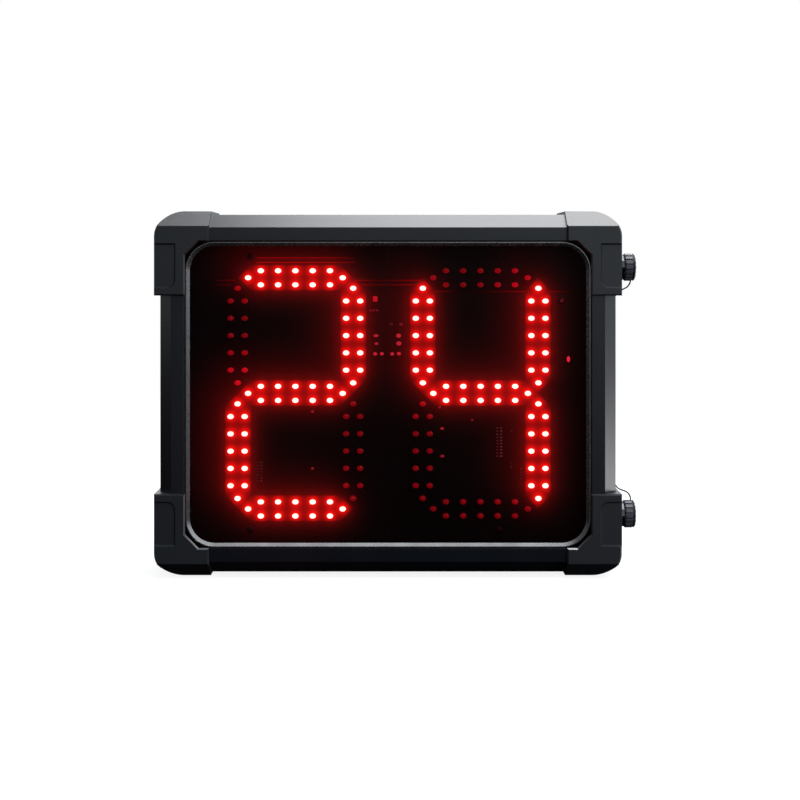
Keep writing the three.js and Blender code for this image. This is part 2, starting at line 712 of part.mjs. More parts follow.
function controlStudPlaces() {
  const reachX = CONTROL_WIDTH / 2 - CONTROL_STUD_INSET;
  const reachZ = CONTROL_HEIGHT / 2 - CONTROL_STUD_INSET;
  return [[-1, -1], [1, -1], [-1, 1], [1, 1]]
    .map(([i, j]) => [CONTROL_X + i * reachX, CONTROL_Z + j * reachZ]);
}

function soundHolePlaces() {
  const places = [[HORN_X, HORN_Z]];
  for (let i = 0; i < SOUND_HOLE_COUNT; i += 1) {
    const angle = (2 * Math.PI * i) / SOUND_HOLE_COUNT;
    places.push([HORN_X + SOUND_HOLE_RING * Math.cos(angle), HORN_Z + SOUND_HOLE_RING * Math.sin(angle)]);
  }
  return places;
}

function cover() {
  const plate = rectangle(-COVER_SIDE, -COVER_TOP, COVER_SIDE, COVER_TOP);
  const holeRadius = COVER_SCREW_SHANK_RADIUS + FIT;
  for (const [x, z] of coverScrewPlaces()) plate.holes.push(circle(x, z, holeRadius));
  for (const [x, z] of soundHolePlaces()) plate.holes.push(circle(x, z, SOUND_HOLE_RADIUS));
  const studs = controlStudPlaces().map(([x, z]) => alongY(
    circle(x, z, STUD_RADIUS), CONTROL_BACK + FIT, COVER_FRONT + COVER_THICKNESS / 2, 3));
  return joined([alongY(plate, COVER_FRONT, COVER_BACK, 3), ...studs]);
}

function seal() {
  const ring = rectangle(-COVER_SIDE, -COVER_TOP, COVER_SIDE, COVER_TOP);
  ring.holes.push(rectangle(-COVER_SIDE + SEAL_WIDTH, -COVER_TOP + SEAL_WIDTH,
    COVER_SIDE - SEAL_WIDTH, COVER_TOP - SEAL_WIDTH));
  for (const [x, z] of coverScrewPlaces()) ring.holes.push(circle(x, z, COVER_SCREW_SHANK_RADIUS + FIT));
  return alongY(ring, SEAL_FRONT, COVER_FRONT - FIT, 3);
}

// A screw along Y: its head's flat seat is at the origin and its shank runs towards -Y
function screw(headRadius, headHeight, shankRadius, length, faces = 6) {
  return turnedY([
    [-length, 0],
    [-length, shankRadius],
    [0, shankRadius],
    [0, headRadius],
    [headHeight / 2, headRadius],
    [headHeight, headRadius / 2],
    [headHeight, 0],
  ], faces);
}

function hanger() {
  const half = HANGER_WIDTH / 2;
  const raised = HANGER_RAISED_WIDTH / 2;
  const low = COVER_BACK + FIT;
  const lift = low + HANGER_RISE;
  const wall = HANGER_THICKNESS;
  const profile = shapeOf([
    [-half, low], [-raised, low], [-raised + wall, lift], [raised - wall, lift], [raised, low], [half, low],
    [half, low + wall], [raised + wall, low + wall], [raised, lift + wall],
    [-raised, lift + wall], [-raised - wall, low + wall], [-half, low + wall],
  ]);
  const slot = KEYHOLE_SLOT_WIDTH / 2;
  const entryZ = -KEYHOLE_SLOT_LENGTH / 2;
  const keyhole = new THREE.Shape();
  const meet = Math.asin(slot / KEYHOLE_RADIUS);
  keyhole.absarc(0, entryZ, KEYHOLE_RADIUS, Math.PI / 2 + meet, 2.5 * Math.PI - meet);
  keyhole.absarc(0, entryZ + KEYHOLE_SLOT_LENGTH, slot, 0, Math.PI);
  const tool = alongY(keyhole, lift - OVERRUN / 2, lift + wall + OVERRUN, 6);
  return alongZ(profile, -HANGER_HEIGHT / 2, HANGER_HEIGHT / 2).subtract(tool);
}

function addRear() {
  add('rear_cover', cover(), 'cover');
  add('rear_seal', seal(), 'rubber');
  coverScrewPlaces().forEach(([x, z], i) => {
    const body = screw(COVER_SCREW_HEAD_RADIUS, COVER_SCREW_HEAD_HEIGHT, COVER_SCREW_SHANK_RADIUS,
      COVER_SCREW_LENGTH);
    add(`cover_screw_${i + 1}`, body, 'steel', [x, COVER_BACK + FIT, z]);
  });
  add('left_hanger', hanger(), 'steel', [-HANGER_X, 0, HANGER_Z]);
  add('right_hanger', hanger(), 'steel', [HANGER_X, 0, HANGER_Z]);
}

// LED boards

// Seven segments: [across, up, lies level], in half digit widths and segment spacings
const SEGMENT_SHARES = [
  [0, 1, true], [0, 0, true], [0, -1, true],
  [-0.5, 0.5, false], [0.5, 0.5, false], [-0.5, -0.5, false], [0.5, -0.5, false],
];

function ledPlaces() {
  const run = [];
  const reach = (LED_PAIRS - 1) / 2;
  for (let i = 0; i < LED_PAIRS; i += 1) {
    const along = (i - reach) * LED_PITCH;
    run.push([along, -LED_ROW_GAP / 2], [along, LED_ROW_GAP / 2]);
  }
  const end = reach * LED_PITCH + LED_END_STEP;
  run.push([-end, 0], [end, 0]);
  return SEGMENT_SHARES.flatMap(([across, up, level]) => run.map(([along, offset]) => [
    across * SEGMENT_SPACING + (level ? along : offset),
    up * SEGMENT_SPACING + (level ? offset : along),
  ]));
}

// An LED stands on the board's front: an oval barrel with a tapered tip
function led() {
  const foot = BOARD_FRONT + BOARD_THICKNESS / 2;
  const shoulder = BOARD_FRONT - LED_BARREL;
  const geometry = new THREE.LatheGeometry([
    new THREE.Vector2(0, shoulder - LED_DOME),
    new THREE.Vector2(LED_WIDTH / 2, shoulder),
    new THREE.Vector2(LED_WIDTH / 2, foot),
    new THREE.Vector2(0, foot),
  ], 6);
  geometry.scale(1, 1, LED_DEPTH / LED_WIDTH);
  return geometry;
}

function ledBoard(side, screwX) {
  const edges = [(side * FIT) / 2, side * BOARD_OUTER_EDGE];
  const [left, right] = side < 0 ? edges.reverse() : edges;
  const plate = rectangle(left, -BOARD_HALF_HEIGHT, right, BOARD_HALF_HEIGHT);
  for (const level of [-1, 1]) {
    plate.holes.push(circle(screwX, level * BAR_HEIGHT_ABOVE_MIDDLE, BOARD_SCREW_SHANK_RADIUS + FIT));
  }
  const centre = (side * DIGIT_SPACING) / 2;
  const lamp = led();
  const lamps = ledPlaces().map(([x, z]) => solid(lamp.clone().translate(centre + x, 0, z)));
  const headerShape = rectangle(centre - HEADER_WIDTH / 2, -HEADER_HEIGHT / 2,
    centre + HEADER_WIDTH / 2, HEADER_HEIGHT / 2);
  const header = alongY(headerShape, BOARD_BACK - BOARD_THICKNESS / 2, BOARD_BACK + HEADER_DEPTH);
  return joined([alongY(plate, BOARD_FRONT, BOARD_BACK, 3), header, ...lamps]);
}

// A channel that runs from side rail to side rail, with its open side to the back
function boardBar(level) {
  const front = BOARD_BACK + FIT;
  const back = front + BAR_DEPTH;
  const half = BAR_WIDTH / 2;
  const channel = shapeOf([
    [front, -half], [front, half], [back, half], [back, half - BAR_WALL],
    [front + BAR_WALL, half - BAR_WALL], [front + BAR_WALL, -half + BAR_WALL],
    [back, -half + BAR_WALL], [back, -half],
  ]);
  const reach = RAIL_SIDE - RAIL_TUBE - FIT;
  const holes = [LEFT_BOARD_SCREW_X, RIGHT_BOARD_SCREW_X].map((x) => alongY(
    circle(x, 0, BOARD_SCREW_SHANK_RADIUS + FIT), front - OVERRUN, front + BAR_WALL + OVERRUN, 3));
  return moved(cut(alongX(channel, -reach, reach), holes), 0, 0, level * BAR_HEIGHT_ABOVE_MIDDLE);
}

function addDisplay() {
  add('left_led_board', ledBoard(-1, LEFT_BOARD_SCREW_X), 'board');
  add('right_led_board', ledBoard(1, RIGHT_BOARD_SCREW_X), 'board');
  for (const [level, name] of [[1, 'upper'], [-1, 'lower']]) {
    add(`${name}_board_bar`, boardBar(level), 'aluminium');
    for (const [x, side] of [[LEFT_BOARD_SCREW_X, 'left'], [RIGHT_BOARD_SCREW_X, 'right']]) {
      const body = screw(BOARD_SCREW_HEAD_RADIUS, BOARD_SCREW_HEAD_HEIGHT, BOARD_SCREW_SHANK_RADIUS,
        BOARD_SCREW_LENGTH, 8);
      const facingFront = surface(body).rotateX(Math.PI);
      add(`${name}_${side}_board_screw`, solid(facingFront), 'steel',
        [x, BOARD_FRONT - FIT, level * BAR_HEIGHT_ABOVE_MIDDLE]);
    }
  }
}

// Electronics

function controlBoard() {
  const left = CONTROL_X - CONTROL_WIDTH / 2;
  const bottom = CONTROL_Z - CONTROL_HEIGHT / 2;
  const plate = rectangle(left, bottom, left + CONTROL_WIDTH, bottom + CONTROL_HEIGHT);
  const middle = (CONTROL_FRONT + CONTROL_BACK) / 2;
  const chips = CHIP_PLACE_SHARES.map(([across, up]) => {
    const x = CONTROL_X + across * CHIP_WIDTH;
    const z = CONTROL_Z + up * CHIP_HEIGHT;
    const chip = rectangle(x - CHIP_WIDTH / 2, z - CHIP_HEIGHT / 2, x + CHIP_WIDTH / 2, z + CHIP_HEIGHT / 2);
    return alongY(chip, CONTROL_FRONT - CHIP_DEPTH, middle);
  });
  return joined([alongY(plate, CONTROL_FRONT, CONTROL_BACK), ...chips]);
}

function powerModule() {
  const back = COVER_FRONT - FIT;
  const outline = roundedRectangle(POWER_WIDTH / 2, POWER_HEIGHT / 2, POWER_RADIUS);
  return moved(alongY(outline, back - POWER_DEPTH, back, 4), POWER_X, 0, POWER_Z);
}

function horn() {
  const back = COVER_FRONT - FIT;
  const front = back - HORN_DEPTH;
  return moved(turnedY([
    [front, 0], [front, HORN_RADIUS - HORN_RIM_THICKNESS], [front + HORN_RIM_THICKNESS, HORN_RADIUS],
    [back - HORN_RIM_THICKNESS, HORN_RADIUS], [back - HORN_RIM_THICKNESS, HORN_RIM_RADIUS],
    [back, HORN_RIM_RADIUS], [back, HORN_RADIUS / 2], [back - HORN_RIM_THICKNESS, HORN_RADIUS / 2],
    [back - HORN_RIM_THICKNESS, 0],
  ]), HORN_X, 0, HORN_Z);
}

// A flat cable from the left board's header to the control board, drawn in Y and Z
function ribbon() {
  const start = BOARD_BACK + HEADER_DEPTH + FIT;
  const end = CONTROL_FRONT - FIT;
  const middle = (start + end) / 2;
  const half = RIBBON_THICKNESS / 2;
  const line = new THREE.CubicBezierCurve(
    new THREE.Vector2(start, 0), new THREE.Vector2(middle, 0),
    new THREE.Vector2(middle, RIBBON_RISE), new THREE.Vector2(end, RIBBON_RISE)).getPoints(8);
  const strip = shapeOf([
    ...line.map((p) => [p.x, p.y - half]),
    ...line.reverse().map((p) => [p.x, p.y + half]),
  ]);
  const centre = -DIGIT_SPACING / 2;
  return alongX(strip, centre - RIBBON_WIDTH / 2, centre + RIBBON_WIDTH / 2);
}

// A lead leaves its socket's tail along X and meets its board or module along X
function socketLead(level) {
  const start = RAIL_SIDE - RAIL_WALL - SOCKET_FLANGE_THICKNESS - SOCKET_TAIL_LENGTH - 2 * FIT;
  const straight = 4 * LEAD_RADIUS;
  const z = level * SOCKET_HEIGHT;
  const end = level > 0 ? CONTROL_X + CONTROL_WIDTH / 2 : POWER_X + POWER_WIDTH / 2;
  const endY = level > 0 ? (CONTROL_FRONT + CONTROL_BACK) / 2 : COVER_FRONT - POWER_DEPTH / 2;
  const endZ = level > 0 ? CONTROL_Z : POWER_Z;
  const aboveHorn = HORN_Z + HORN_RIM_RADIUS + 2 * LEAD_RADIUS;
  const roundHorn = [
    [HORN_X + HORN_RIM_RADIUS, 0, z],
    [HORN_X, 0, aboveHorn],
    [HORN_X - HORN_RIM_RADIUS, endY / 2, aboveHorn],
  ];
  const bend = level > 0 ? roundHorn : [];
  return swept([
    [start, 0, z], [start - straight, 0, z], ...bend, [end + straight, endY, endZ], [end + FIT, endY, endZ],
  ], LEAD_RADIUS, LEAD_SIDES, LEAD_STEPS);
}

function addElectronics() {
  add('control_board', controlBoard(), 'control');
  add('power_module', powerModule(), 'casing');
  add('horn', horn(), 'casing');
  add('ribbon_cable', ribbon(), 'ribbon');
  add('upper_socket_lead', socketLead(1), 'cable');
  add('lower_socket_lead', socketLead(-1), 'cable');
}

// Sockets, caps and tethers on the right side, about the X axis

function socketBody() {
  const flangeOuter = RAIL_SIDE - RAIL_WALL - FIT;
  const flangeInner = flangeOuter - SOCKET_FLANGE_THICKNESS;
  const tail = flangeInner - SOCKET_TAIL_LENGTH;
  const bore = BARREL_END - INSERT_RECESS - INSERT_LENGTH - FIT;
  return turnedX([
    [tail, 0], [tail, SOCKET_TAIL_RADIUS], [flangeInner, SOCKET_TAIL_RADIUS],
    [flangeInner, SOCKET_FLANGE_RADIUS], [flangeOuter, SOCKET_FLANGE_RADIUS], [flangeOuter, BARREL_RADIUS],
    [BARREL_END - BARREL_CHAMFER, BARREL_RADIUS], [BARREL_END, BARREL_RADIUS - BARREL_CHAMFER],
    [BARREL_END, SOCKET_BORE_RADIUS], [bore, SOCKET_BORE_RADIUS], [bore, 0],
  ]);
}

function socketInsert() {
  const front = BARREL_END - INSERT_RECESS;
  return discX(front - INSERT_LENGTH, front, SOCKET_BORE_RADIUS - FIT, 16);
}

function discX(x0, x1, radius, segments = ROUND) {
  return turnedX([[x0, 0], [x0, radius], [x1, radius], [x1, 0]], segments);
}

// A ring about the X axis with a square section
function ringX(x0, x1, innerRadius, outerRadius, segments = ROUND) {
  return turnedX([
    [x0, innerRadius], [x0, outerRadius], [x1, outerRadius], [x1, innerRadius], [x0, innerRadius],
  ], segments);
}

function socketGasket() {
  const start = HALF_WIDTH + FIT;
  return ringX(start, start + GASKET_THICKNESS, BARREL_RADIUS + FIT, NUT_RADIUS);
}

function socketNut() {
  const start = HALF_WIDTH + FIT + GASKET_THICKNESS + FIT;
  const end = start + NUT_THICKNESS;
  const blank = discX(start, end, NUT_RADIUS, NUT_SIDES * 2);
  return blank.subtract(discX(start - OVERRUN, end + OVERRUN, BARREL_RADIUS + FIT));
}

// The grip's section in Y and Z: ribs with flat tops and sloping flanks round the cap
function gripOutline() {
  const points = [];
  const floor = CAP_RADIUS - CAP_GRIP_DEPTH;
  const rib = [
    ...CAP_RIB_SHARES.map((share) => [share, CAP_RADIUS]),
    ...CAP_VALLEY_SHARES.map((share) => [share, floor]),
  ];
  for (let i = 0; i < CAP_GRIPS; i += 1) {
    for (const [share, radius] of rib) {
      const angle = (2 * Math.PI * (i + share)) / CAP_GRIPS;
      points.push([radius * Math.cos(angle), radius * Math.sin(angle)]);
    }
  }
  return shapeOf(points);
}

function cap() {
  const floor = CAP_LENGTH - CAP_END_WALL;
  const bore = BARREL_RADIUS + FIT;
  const blank = new THREE.ExtrudeGeometry(gripOutline(), {
    depth: CAP_LENGTH - 2 * CAP_ROUNDING,
    bevelThickness: CAP_ROUNDING,
    bevelSize: CAP_ROUNDING,
    bevelOffset: -CAP_ROUNDING,
    bevelSegments: 1,
  });
  blank.rotateY(Math.PI / 2);
  blank.translate(CAP_ROUNDING, 0, 0);
  const grooveEnd = CAP_LENGTH - CAP_LIP;
  const grooveFloor = CAP_RADIUS - CAP_GROOVE_DEPTH;
  const groove = ringX(grooveEnd - CAP_GROOVE_WIDTH, grooveEnd, grooveFloor, CAP_RADIUS + OVERRUN);
  return cut(solid(blank), [discX(-OVERRUN, floor, bore), groove]);
}

function capSeal() {
  const end = CAP_LENGTH - CAP_END_WALL - FIT;
  return discX(end - CAP_SEAL_THICKNESS, end, BARREL_RADIUS - FIT / 2, 16);
}

function tetherRing() {
  const start = CAP_LENGTH - CAP_LIP - CAP_GROOVE_WIDTH + (CAP_GROOVE_WIDTH - TETHER_RING_SECTION) / 2;
  const inner = CAP_RADIUS - CAP_GROOVE_DEPTH + FIT;
  return ringX(start, start + TETHER_RING_SECTION, inner, inner + TETHER_RING_SECTION);
}

function tether(level) {
  const points = TETHER_ROUTE.map(([out, back, fromEnd]) => [
    HALF_WIDTH + out, back, level * (HALF_HEIGHT - fromEnd),
  ]);
  return swept(points, TETHER_RADIUS, TETHER_SIDES, TETHER_STEPS);
}

function anchorScrew() {
  return turnedX([
    [-ANCHOR_LENGTH, 0],
    [-ANCHOR_LENGTH, ANCHOR_SHANK_RADIUS],
    [0, ANCHOR_SHANK_RADIUS],
    [0, ANCHOR_RADIUS],
    [ANCHOR_HEAD_HEIGHT / 2, ANCHOR_RADIUS],
    [ANCHOR_HEAD_HEIGHT, ANCHOR_RADIUS / 2],
    [ANCHOR_HEAD_HEIGHT, 0],
  ], 10);
}

function addSockets() {
  for (const [level, name] of [[1, 'upper'], [-1, 'lower']]) {
    const at = [0, 0, level * SOCKET_HEIGHT];
    const capPlace = [CAP_MOUTH, 0, level * SOCKET_HEIGHT];
    add(`${name}_socket_body`, socketBody(), 'nickel', at);
    add(`${name}_socket_insert`, socketInsert(), 'insert', at);
    add(`${name}_socket_nut`, socketNut(), 'nickel', at);
    add(`${name}_socket_gasket`, socketGasket(), 'rubber', at);
    add(`${name}_cap`, cap(), 'guard', capPlace);
    add(`${name}_cap_seal`, capSeal(), 'rubber', capPlace);
    add(`${name}_tether_ring`, tetherRing(), 'cable', capPlace);
    add(`${name}_tether`, tether(level), 'cable');
    add(`${name}_tether_anchor`, anchorScrew(), 'steel', [RAIL_SIDE + FIT, 0, level * ANCHOR_HEIGHT]);
  }
}

addRails();
addCorners();
addFront();
addRear();
addDisplay();
addElectronics();
addSockets();

// The origin is under the middle of the whole, caps included, on the surface it stands on
clock.position.set(-(CAP_END - HALF_WIDTH) / 2, 0, HALF_HEIGHT);

export default clock;
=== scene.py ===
# A two-digit shot clock: looks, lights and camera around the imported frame.
# Sizes are in millimetres about the middle of the body, and at() turns them into the frame's metres.
# Lights, floor and room are in metres.

import json
import math
import random

import bmesh
import bpy
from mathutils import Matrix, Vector

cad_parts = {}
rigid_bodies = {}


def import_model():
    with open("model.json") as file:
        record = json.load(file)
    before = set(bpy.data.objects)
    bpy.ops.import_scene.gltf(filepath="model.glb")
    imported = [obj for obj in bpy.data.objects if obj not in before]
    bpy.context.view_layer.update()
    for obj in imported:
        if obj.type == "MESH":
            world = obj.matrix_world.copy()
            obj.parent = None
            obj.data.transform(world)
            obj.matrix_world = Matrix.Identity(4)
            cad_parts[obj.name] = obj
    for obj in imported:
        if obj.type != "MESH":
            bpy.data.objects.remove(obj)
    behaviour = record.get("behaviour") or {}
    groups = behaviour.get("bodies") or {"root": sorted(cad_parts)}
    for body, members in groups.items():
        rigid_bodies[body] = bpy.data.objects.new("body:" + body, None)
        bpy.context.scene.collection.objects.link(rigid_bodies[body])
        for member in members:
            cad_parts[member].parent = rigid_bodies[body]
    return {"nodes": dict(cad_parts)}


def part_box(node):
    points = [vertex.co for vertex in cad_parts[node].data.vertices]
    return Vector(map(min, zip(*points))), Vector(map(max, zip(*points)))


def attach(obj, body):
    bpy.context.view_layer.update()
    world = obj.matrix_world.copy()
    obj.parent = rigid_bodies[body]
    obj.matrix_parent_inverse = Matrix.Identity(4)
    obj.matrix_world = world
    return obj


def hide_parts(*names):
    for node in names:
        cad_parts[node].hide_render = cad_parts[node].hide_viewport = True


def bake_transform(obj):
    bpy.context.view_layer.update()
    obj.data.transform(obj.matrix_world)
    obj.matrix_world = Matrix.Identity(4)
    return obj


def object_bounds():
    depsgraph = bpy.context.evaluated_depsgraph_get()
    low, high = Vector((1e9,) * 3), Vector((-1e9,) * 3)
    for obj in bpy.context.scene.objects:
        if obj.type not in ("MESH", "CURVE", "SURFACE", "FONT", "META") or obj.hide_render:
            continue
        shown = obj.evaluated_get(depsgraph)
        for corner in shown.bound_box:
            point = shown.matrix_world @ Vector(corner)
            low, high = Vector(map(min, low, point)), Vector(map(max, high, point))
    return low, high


for leftover in list(bpy.data.objects):
    bpy.data.objects.remove(leftover)

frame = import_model()
NODES = frame["nodes"]
CAD_BOX = [list(corner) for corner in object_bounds()]

random.seed(24)

# A millimetre in metres
MM = 0.001


def in_mm(metres):
    """A length of the frame, to a hundredth of a millimetre."""
    return round(metres / MM, 2)


# Sizes of the part's source
BOARD_THICKNESS = 1.6
DIGIT_X = 75
SEGMENT_SPACING = 93.6
LED_PITCH = 14
LED_ROW_GAP = 11.4
LED_END_STEP = 10.3
LED_PAIRS = 5
LED_WIDTH = 5.2
LED_HEIGHT = 4.1
LED_BARREL = 3.2
LED_DOME = 2.3

# Sizes from the frame: the body's middle, left of the frame's because of the caps, its half depth, and an
# LED board's outer edge, half height and face, which lies behind the tips of its LEDs
BOARD_LOW, BOARD_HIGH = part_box("left_led_board")
MIDDLE_X = in_mm((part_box("left_rail")[0].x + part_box("right_rail")[1].x) / 2)
MIDDLE_Z = in_mm(CAD_BOX[1][2] / 2)
HALF_DEPTH = in_mm(CAD_BOX[1][1])
BOARD_OUTER_EDGE = MIDDLE_X - in_mm(BOARD_LOW.x)
BOARD_HALF_HEIGHT = in_mm(BOARD_HIGH.z - BOARD_LOW.z) / 2
BOARD_FRONT = in_mm(BOARD_LOW.y) + LED_BARREL + LED_DOME

# Camera: before the body and above its middle, looking level, with the picture shifted onto the body
CAMERA_DISTANCE = 1000
CAMERA_ABOVE_MIDDLE = 108
CAMERA_LENS = 56.25
CAMERA_SENSOR = 36
CAMERA_SHIFT_X = 0.015
CAMERA_SHIFT_Y = -0.175
CAMERA_TILT = 90

# Edges: angles in degrees from which they are sharp or softened, and how wide the softened ones are
SMOOTH_ANGLE = 35
LAMP_SMOOTH_ANGLE = 50
BOARD_PART_SMOOTH_ANGLE = 40
TETHER_SMOOTH_ANGLE = 60
SOFTEN_FROM_ANGLE = 28
SOFT_EDGE_SEGMENTS = 2
SOFT_EDGE_WIDTHS = {"_guard": 0.35, "_rail": 0.2, "_hanger": 0.2, "_nut": 0.25, "panel_bezel": 0.12}
WELD_REACH = 0.002

# A guard's slopes, by the share in which they face forwards and by distances from the body's middle, which
# get painted shade or a painted glint:
# the steps round its pocket and its arm's end, which also faces sideways, get painted shade, and its gusset,
# which also faces up, a painted glint
SLOPE_SHARES = (0.2, 0.95)
STEP_FROM_X = 169.5
STEP_TO_Z = 123
ARM_END_TO_X = 146
ARM_END_SHARE = 0.3
GUSSET_TO_X = 172
GUSSET_FROM_Z = 118
GUSSET_TO_Z = 134
GUSSET_SHARE = 0.2

# Tether: its route from cap to anchor, how many steps a stretch of it has, and its roundness
TETHER_RADIUS = 0.6
TETHER_SIDES = 12
TETHER_STEPS = 4
TETHER_ROUTE = (
    (201.95, 7.3, 94.9), (202.3, 8.1, 92.9), (202.3, 8.4, 90.4), (201.4, 8.2, 87.9), (199.5, 7.4, 85.7),
    (196.8, 6.2, 84.2), (193.8, 4.9, 83.0), (191.0, 3.5, 81.4), (188.9, 2.2, 79.0), (187.4, 0.9, 76.3),
    (186.6, 0.1, 73.5), (186.6, 0, 72.5),
)

# Each segment: its place in spacings from the digit's middle, and whether it lies level
SEGMENTS = {
    "a": (0, 1, True), "g": (0, 0, True), "d": (0, -1, True),
    "f": (-0.5, 0.5, False), "b": (0.5, 0.5, False), "e": (-0.5, -0.5, False), "c": (0.5, -0.5, False),
}
# Each digit: its middle and its lit segments
DIGITS = {"left": (-DIGIT_X, "abged"), "right": (DIGIT_X, "fgbc")}

# Board plates: they meet in the middle but for a hair, and their faces are grids that carry painted light
BOARD_INNER_EDGE = 0.02
BOARD_COLUMNS = 84
BOARD_ROWS = 128

# Segment masks
MASK_HALF_WIDTH = 10.4
MASK_TIP = 46.75
MASK_TIP_HALF_WIDTH = 0.02
MASK_HEIGHT = 0.7
MASK_COLUMNS = 92
MASK_ROWS = 20
MASK_EDGE_SHADE = 0.7

# Lamps: a flange at the foot, with its rim and its top, and a barrel that is a share as wide
LAMP_SIDES = 18
LAMP_DOME_STEPS = 6
LAMP_FLANGE_RIM = 0.9
LAMP_FLANGE_TOP = 1
LAMP_BARREL_SHARE = 0.96

# Light of the lamps, and the colours of the lamps' light painted on what they light
GLOW_RED = (1.0, 0.0, 0.0004)
DULL_RED = (1.0, 0.001, 0.014)
PALE_RED = (1.0, 0.02, 0.055)
PIN_RED = (1.0, 0.13, 0.17)
LAMP_HOT = (16.0, 2.7, 2.3)
LAMP_WARM = (7.0, 0.8, 0.35)
LAMP_RED = (0.95, 0.0008, 0.002)
# How bright a lamp's painted light is beside it and how far it reaches, on the board, on a lit mask and as
# painted haze
BOARD_GLOW = (0.21, 7)
BOARD_SPILL = (0.035, 14)
MASK_GLOW = (2.0, 4.2)
MASK_SPILL = (0.22, 10)
HAZE = (0.009, 21)
HAZE_SHIFT = (-13, 10)
# Squared distance, in squared reaches, past which a lamp adds nothing
GLOW_CUTOFF = 12
# An unlit lamp glows with this much painted light, more by a gain on the painted haze at its place, and a
# share of it on its barrel
UNLIT_FLOOR = 0.3
UNLIT_GAIN = 18
UNLIT_BARREL_SHARE = 0.35

# Small parts on the boards: each one's place, width, height and the brightness of the lamps' light painted
# on it
SQUARE_PART = (-10.4, 76.4, 3.6, 4.4, 0.95)
SQUARE_PART_DEPTH = 1.3
SOLDER_JOINTS = (
    (-14.2, 67, 1.6, 1.5, 0.45), (-11.6, 67.1, 1.6, 1.5, 0.45), (-8.7, 67.1, 1.6, 1.5, 0.5),
    (2.6, 55.8, 3, 2, 0.1), (10.6, 55.6, 3, 2.4, 0.24), (-9.8, 46.5, 4.2, 2.6, 0.75),
    (8.6, 46.5, 4, 3.4, 0.9), (-9.4, 40, 3.4, 2.2, 0.65), (8.8, 40.2, 4.2, 3.4, 0.9),
    (-10.4, 31.7, 3.2, 2.7, 1), (-5, 31.8, 3.1, 2.7, 1), (3.4, 31.7, 3.1, 2.7, 1), (8.8, 31.9, 3.3, 2.7, 1),
    (-61.4, -15.3, 2.6, 2.2, 0.4), (-61.4, -61.4, 2.6, 2.2, 0.35), (44, -28.9, 3, 2.2, 0.6),
    (44.1, -51.3, 3.2, 2.2, 0.5), (42, -11.6, 2.2, 1.8, 0.5), (68.4, -21.9, 2.2, 1.8, 0.3),
    (100.4, -31.3, 1.6, 1.4, 0.12), (100.2, -57.3, 1.4, 2, 0.08), (100, -60.4, 2.2, 1.2, 0.12),
    (146.6, 27.4, 2.6, 4.8, 1.6),
)
# A joint's radius and rise at each ring, in shares of its width
JOINT_RINGS = ((0, 0), (0.5, 0), (0.42, 0.3), (0.25, 0.45), (0, 0.5))
JOINT_SIDES = 12
# Each header: its middle, how many rows and columns of pins, and how brightly the lamps' light painted on
# them shows
HEADERS = ((90.4, -39.9, 10, 2, 0.24), (-104.4, -64, 7, 2, 0.12), (108.2, -65.5, 4, 1, 0.18))
PIN_PITCH = 2.54
PIN_COLUMN_SPREAD = 1.2
PIN_SIZE = (1.4, 0.8, 1.2)
PIN_SHADES = (0.5, 1.2)
PIN_FIRST_COLUMN_SHADE = 0.6
# Each copper trace: its height and where it starts and ends
TRACES = (
    (109.7, -107, -28), (106.1, -107, -26), (91.5, -140, -0.4), (91.5, 0.4, 118), (87.8, -140, -0.4),
    (87.8, 0.4, 118), (82.4, 38, 150),
)
TRACE_WIDTH = 0.6
TRACE_THICKNESS = 0.12
TRACE_STEPS = 60
# A trace shows this much painted light, more by a gain on the lamps' painted light
TRACE_GLOW = 0.012
TRACE_GAIN = 8
# The cross-recess screw: each ring of its head is a share of the radius and a rise
SCREW_PLACE = (141, 75)
SCREW_RADIUS = 3.1
SCREW_SIDES = 20
SCREW_RINGS = ((0, 0), (1, 0), (1, 0.7), (0.6, 1.2), (0, 1.4))
RECESS_REACH_SHARE = 0.62
RECESS_HALF_WIDTH = 0.3
RECESS_BACK = 1.25
RECESS_FRONT = 1.6
# The lamps' light painted in the screw's recess
RECESS_LEVEL = 0.3

# Each light: where it stands, what it faces, its width and height, and its power in watts
PART_CENTRE = (0, 0, 0.15)
LIGHTS = {
    "overhead": ((0.28, 0.2, 1.3), (0.05, 0.1, 0.15), (1.2, 1.0), 40),
    "right": ((1.3, 0.05, -0.26), PART_CENTRE, (0.8, 0.42), 8),
    "left": ((-1.3, 0.05, 0.34), PART_CENTRE, (0.8, 0.42), 0.6),
    "front_top": ((0.2, -0.75, 1.2), PART_CENTRE, (1.3, 0.3), 3.2),
    "back_fill": ((-0.9, 1.6, 0.9), PART_CENTRE, (1.2, 1.0), 10),
}

# The room that the part sees: its tint, and its strength by a direction's height and by its side
WHITE = (1, 1, 1, 1)
ROOM_TINT = (0.85, 0.93, 1, 1)
ROOM_BY_HEIGHT = (-0.1, 0.16, 0, 0.72)
ROOM_BY_SIDE = (-0.25, 0.25, 0.25, 2.8)

# Floor: its half width, its grey, its own light and the distances from the part between which it fades out
FLOOR_REACH = 4
FLOOR_GREY = 0.15
FLOOR_LIGHT = 0.86
FLOOR_CLEAR_FROM = 0.35
FLOOR_CLEAR_TO = 1.6

BLOOM = {"Threshold": 4, "Strength": 0.3, "Size": 0.25}


# Places and camera

def at(x, y, z):
    """A point of the body in the frame's metres."""
    return Vector(((x + MIDDLE_X) * MM, y * MM, (z + MIDDLE_Z) * MM))


def from_middle(point):
    """How far right of the body's middle and above it a point of the frame lies, in millimetres."""
    return point.x / MM - MIDDLE_X, point.z / MM - MIDDLE_Z


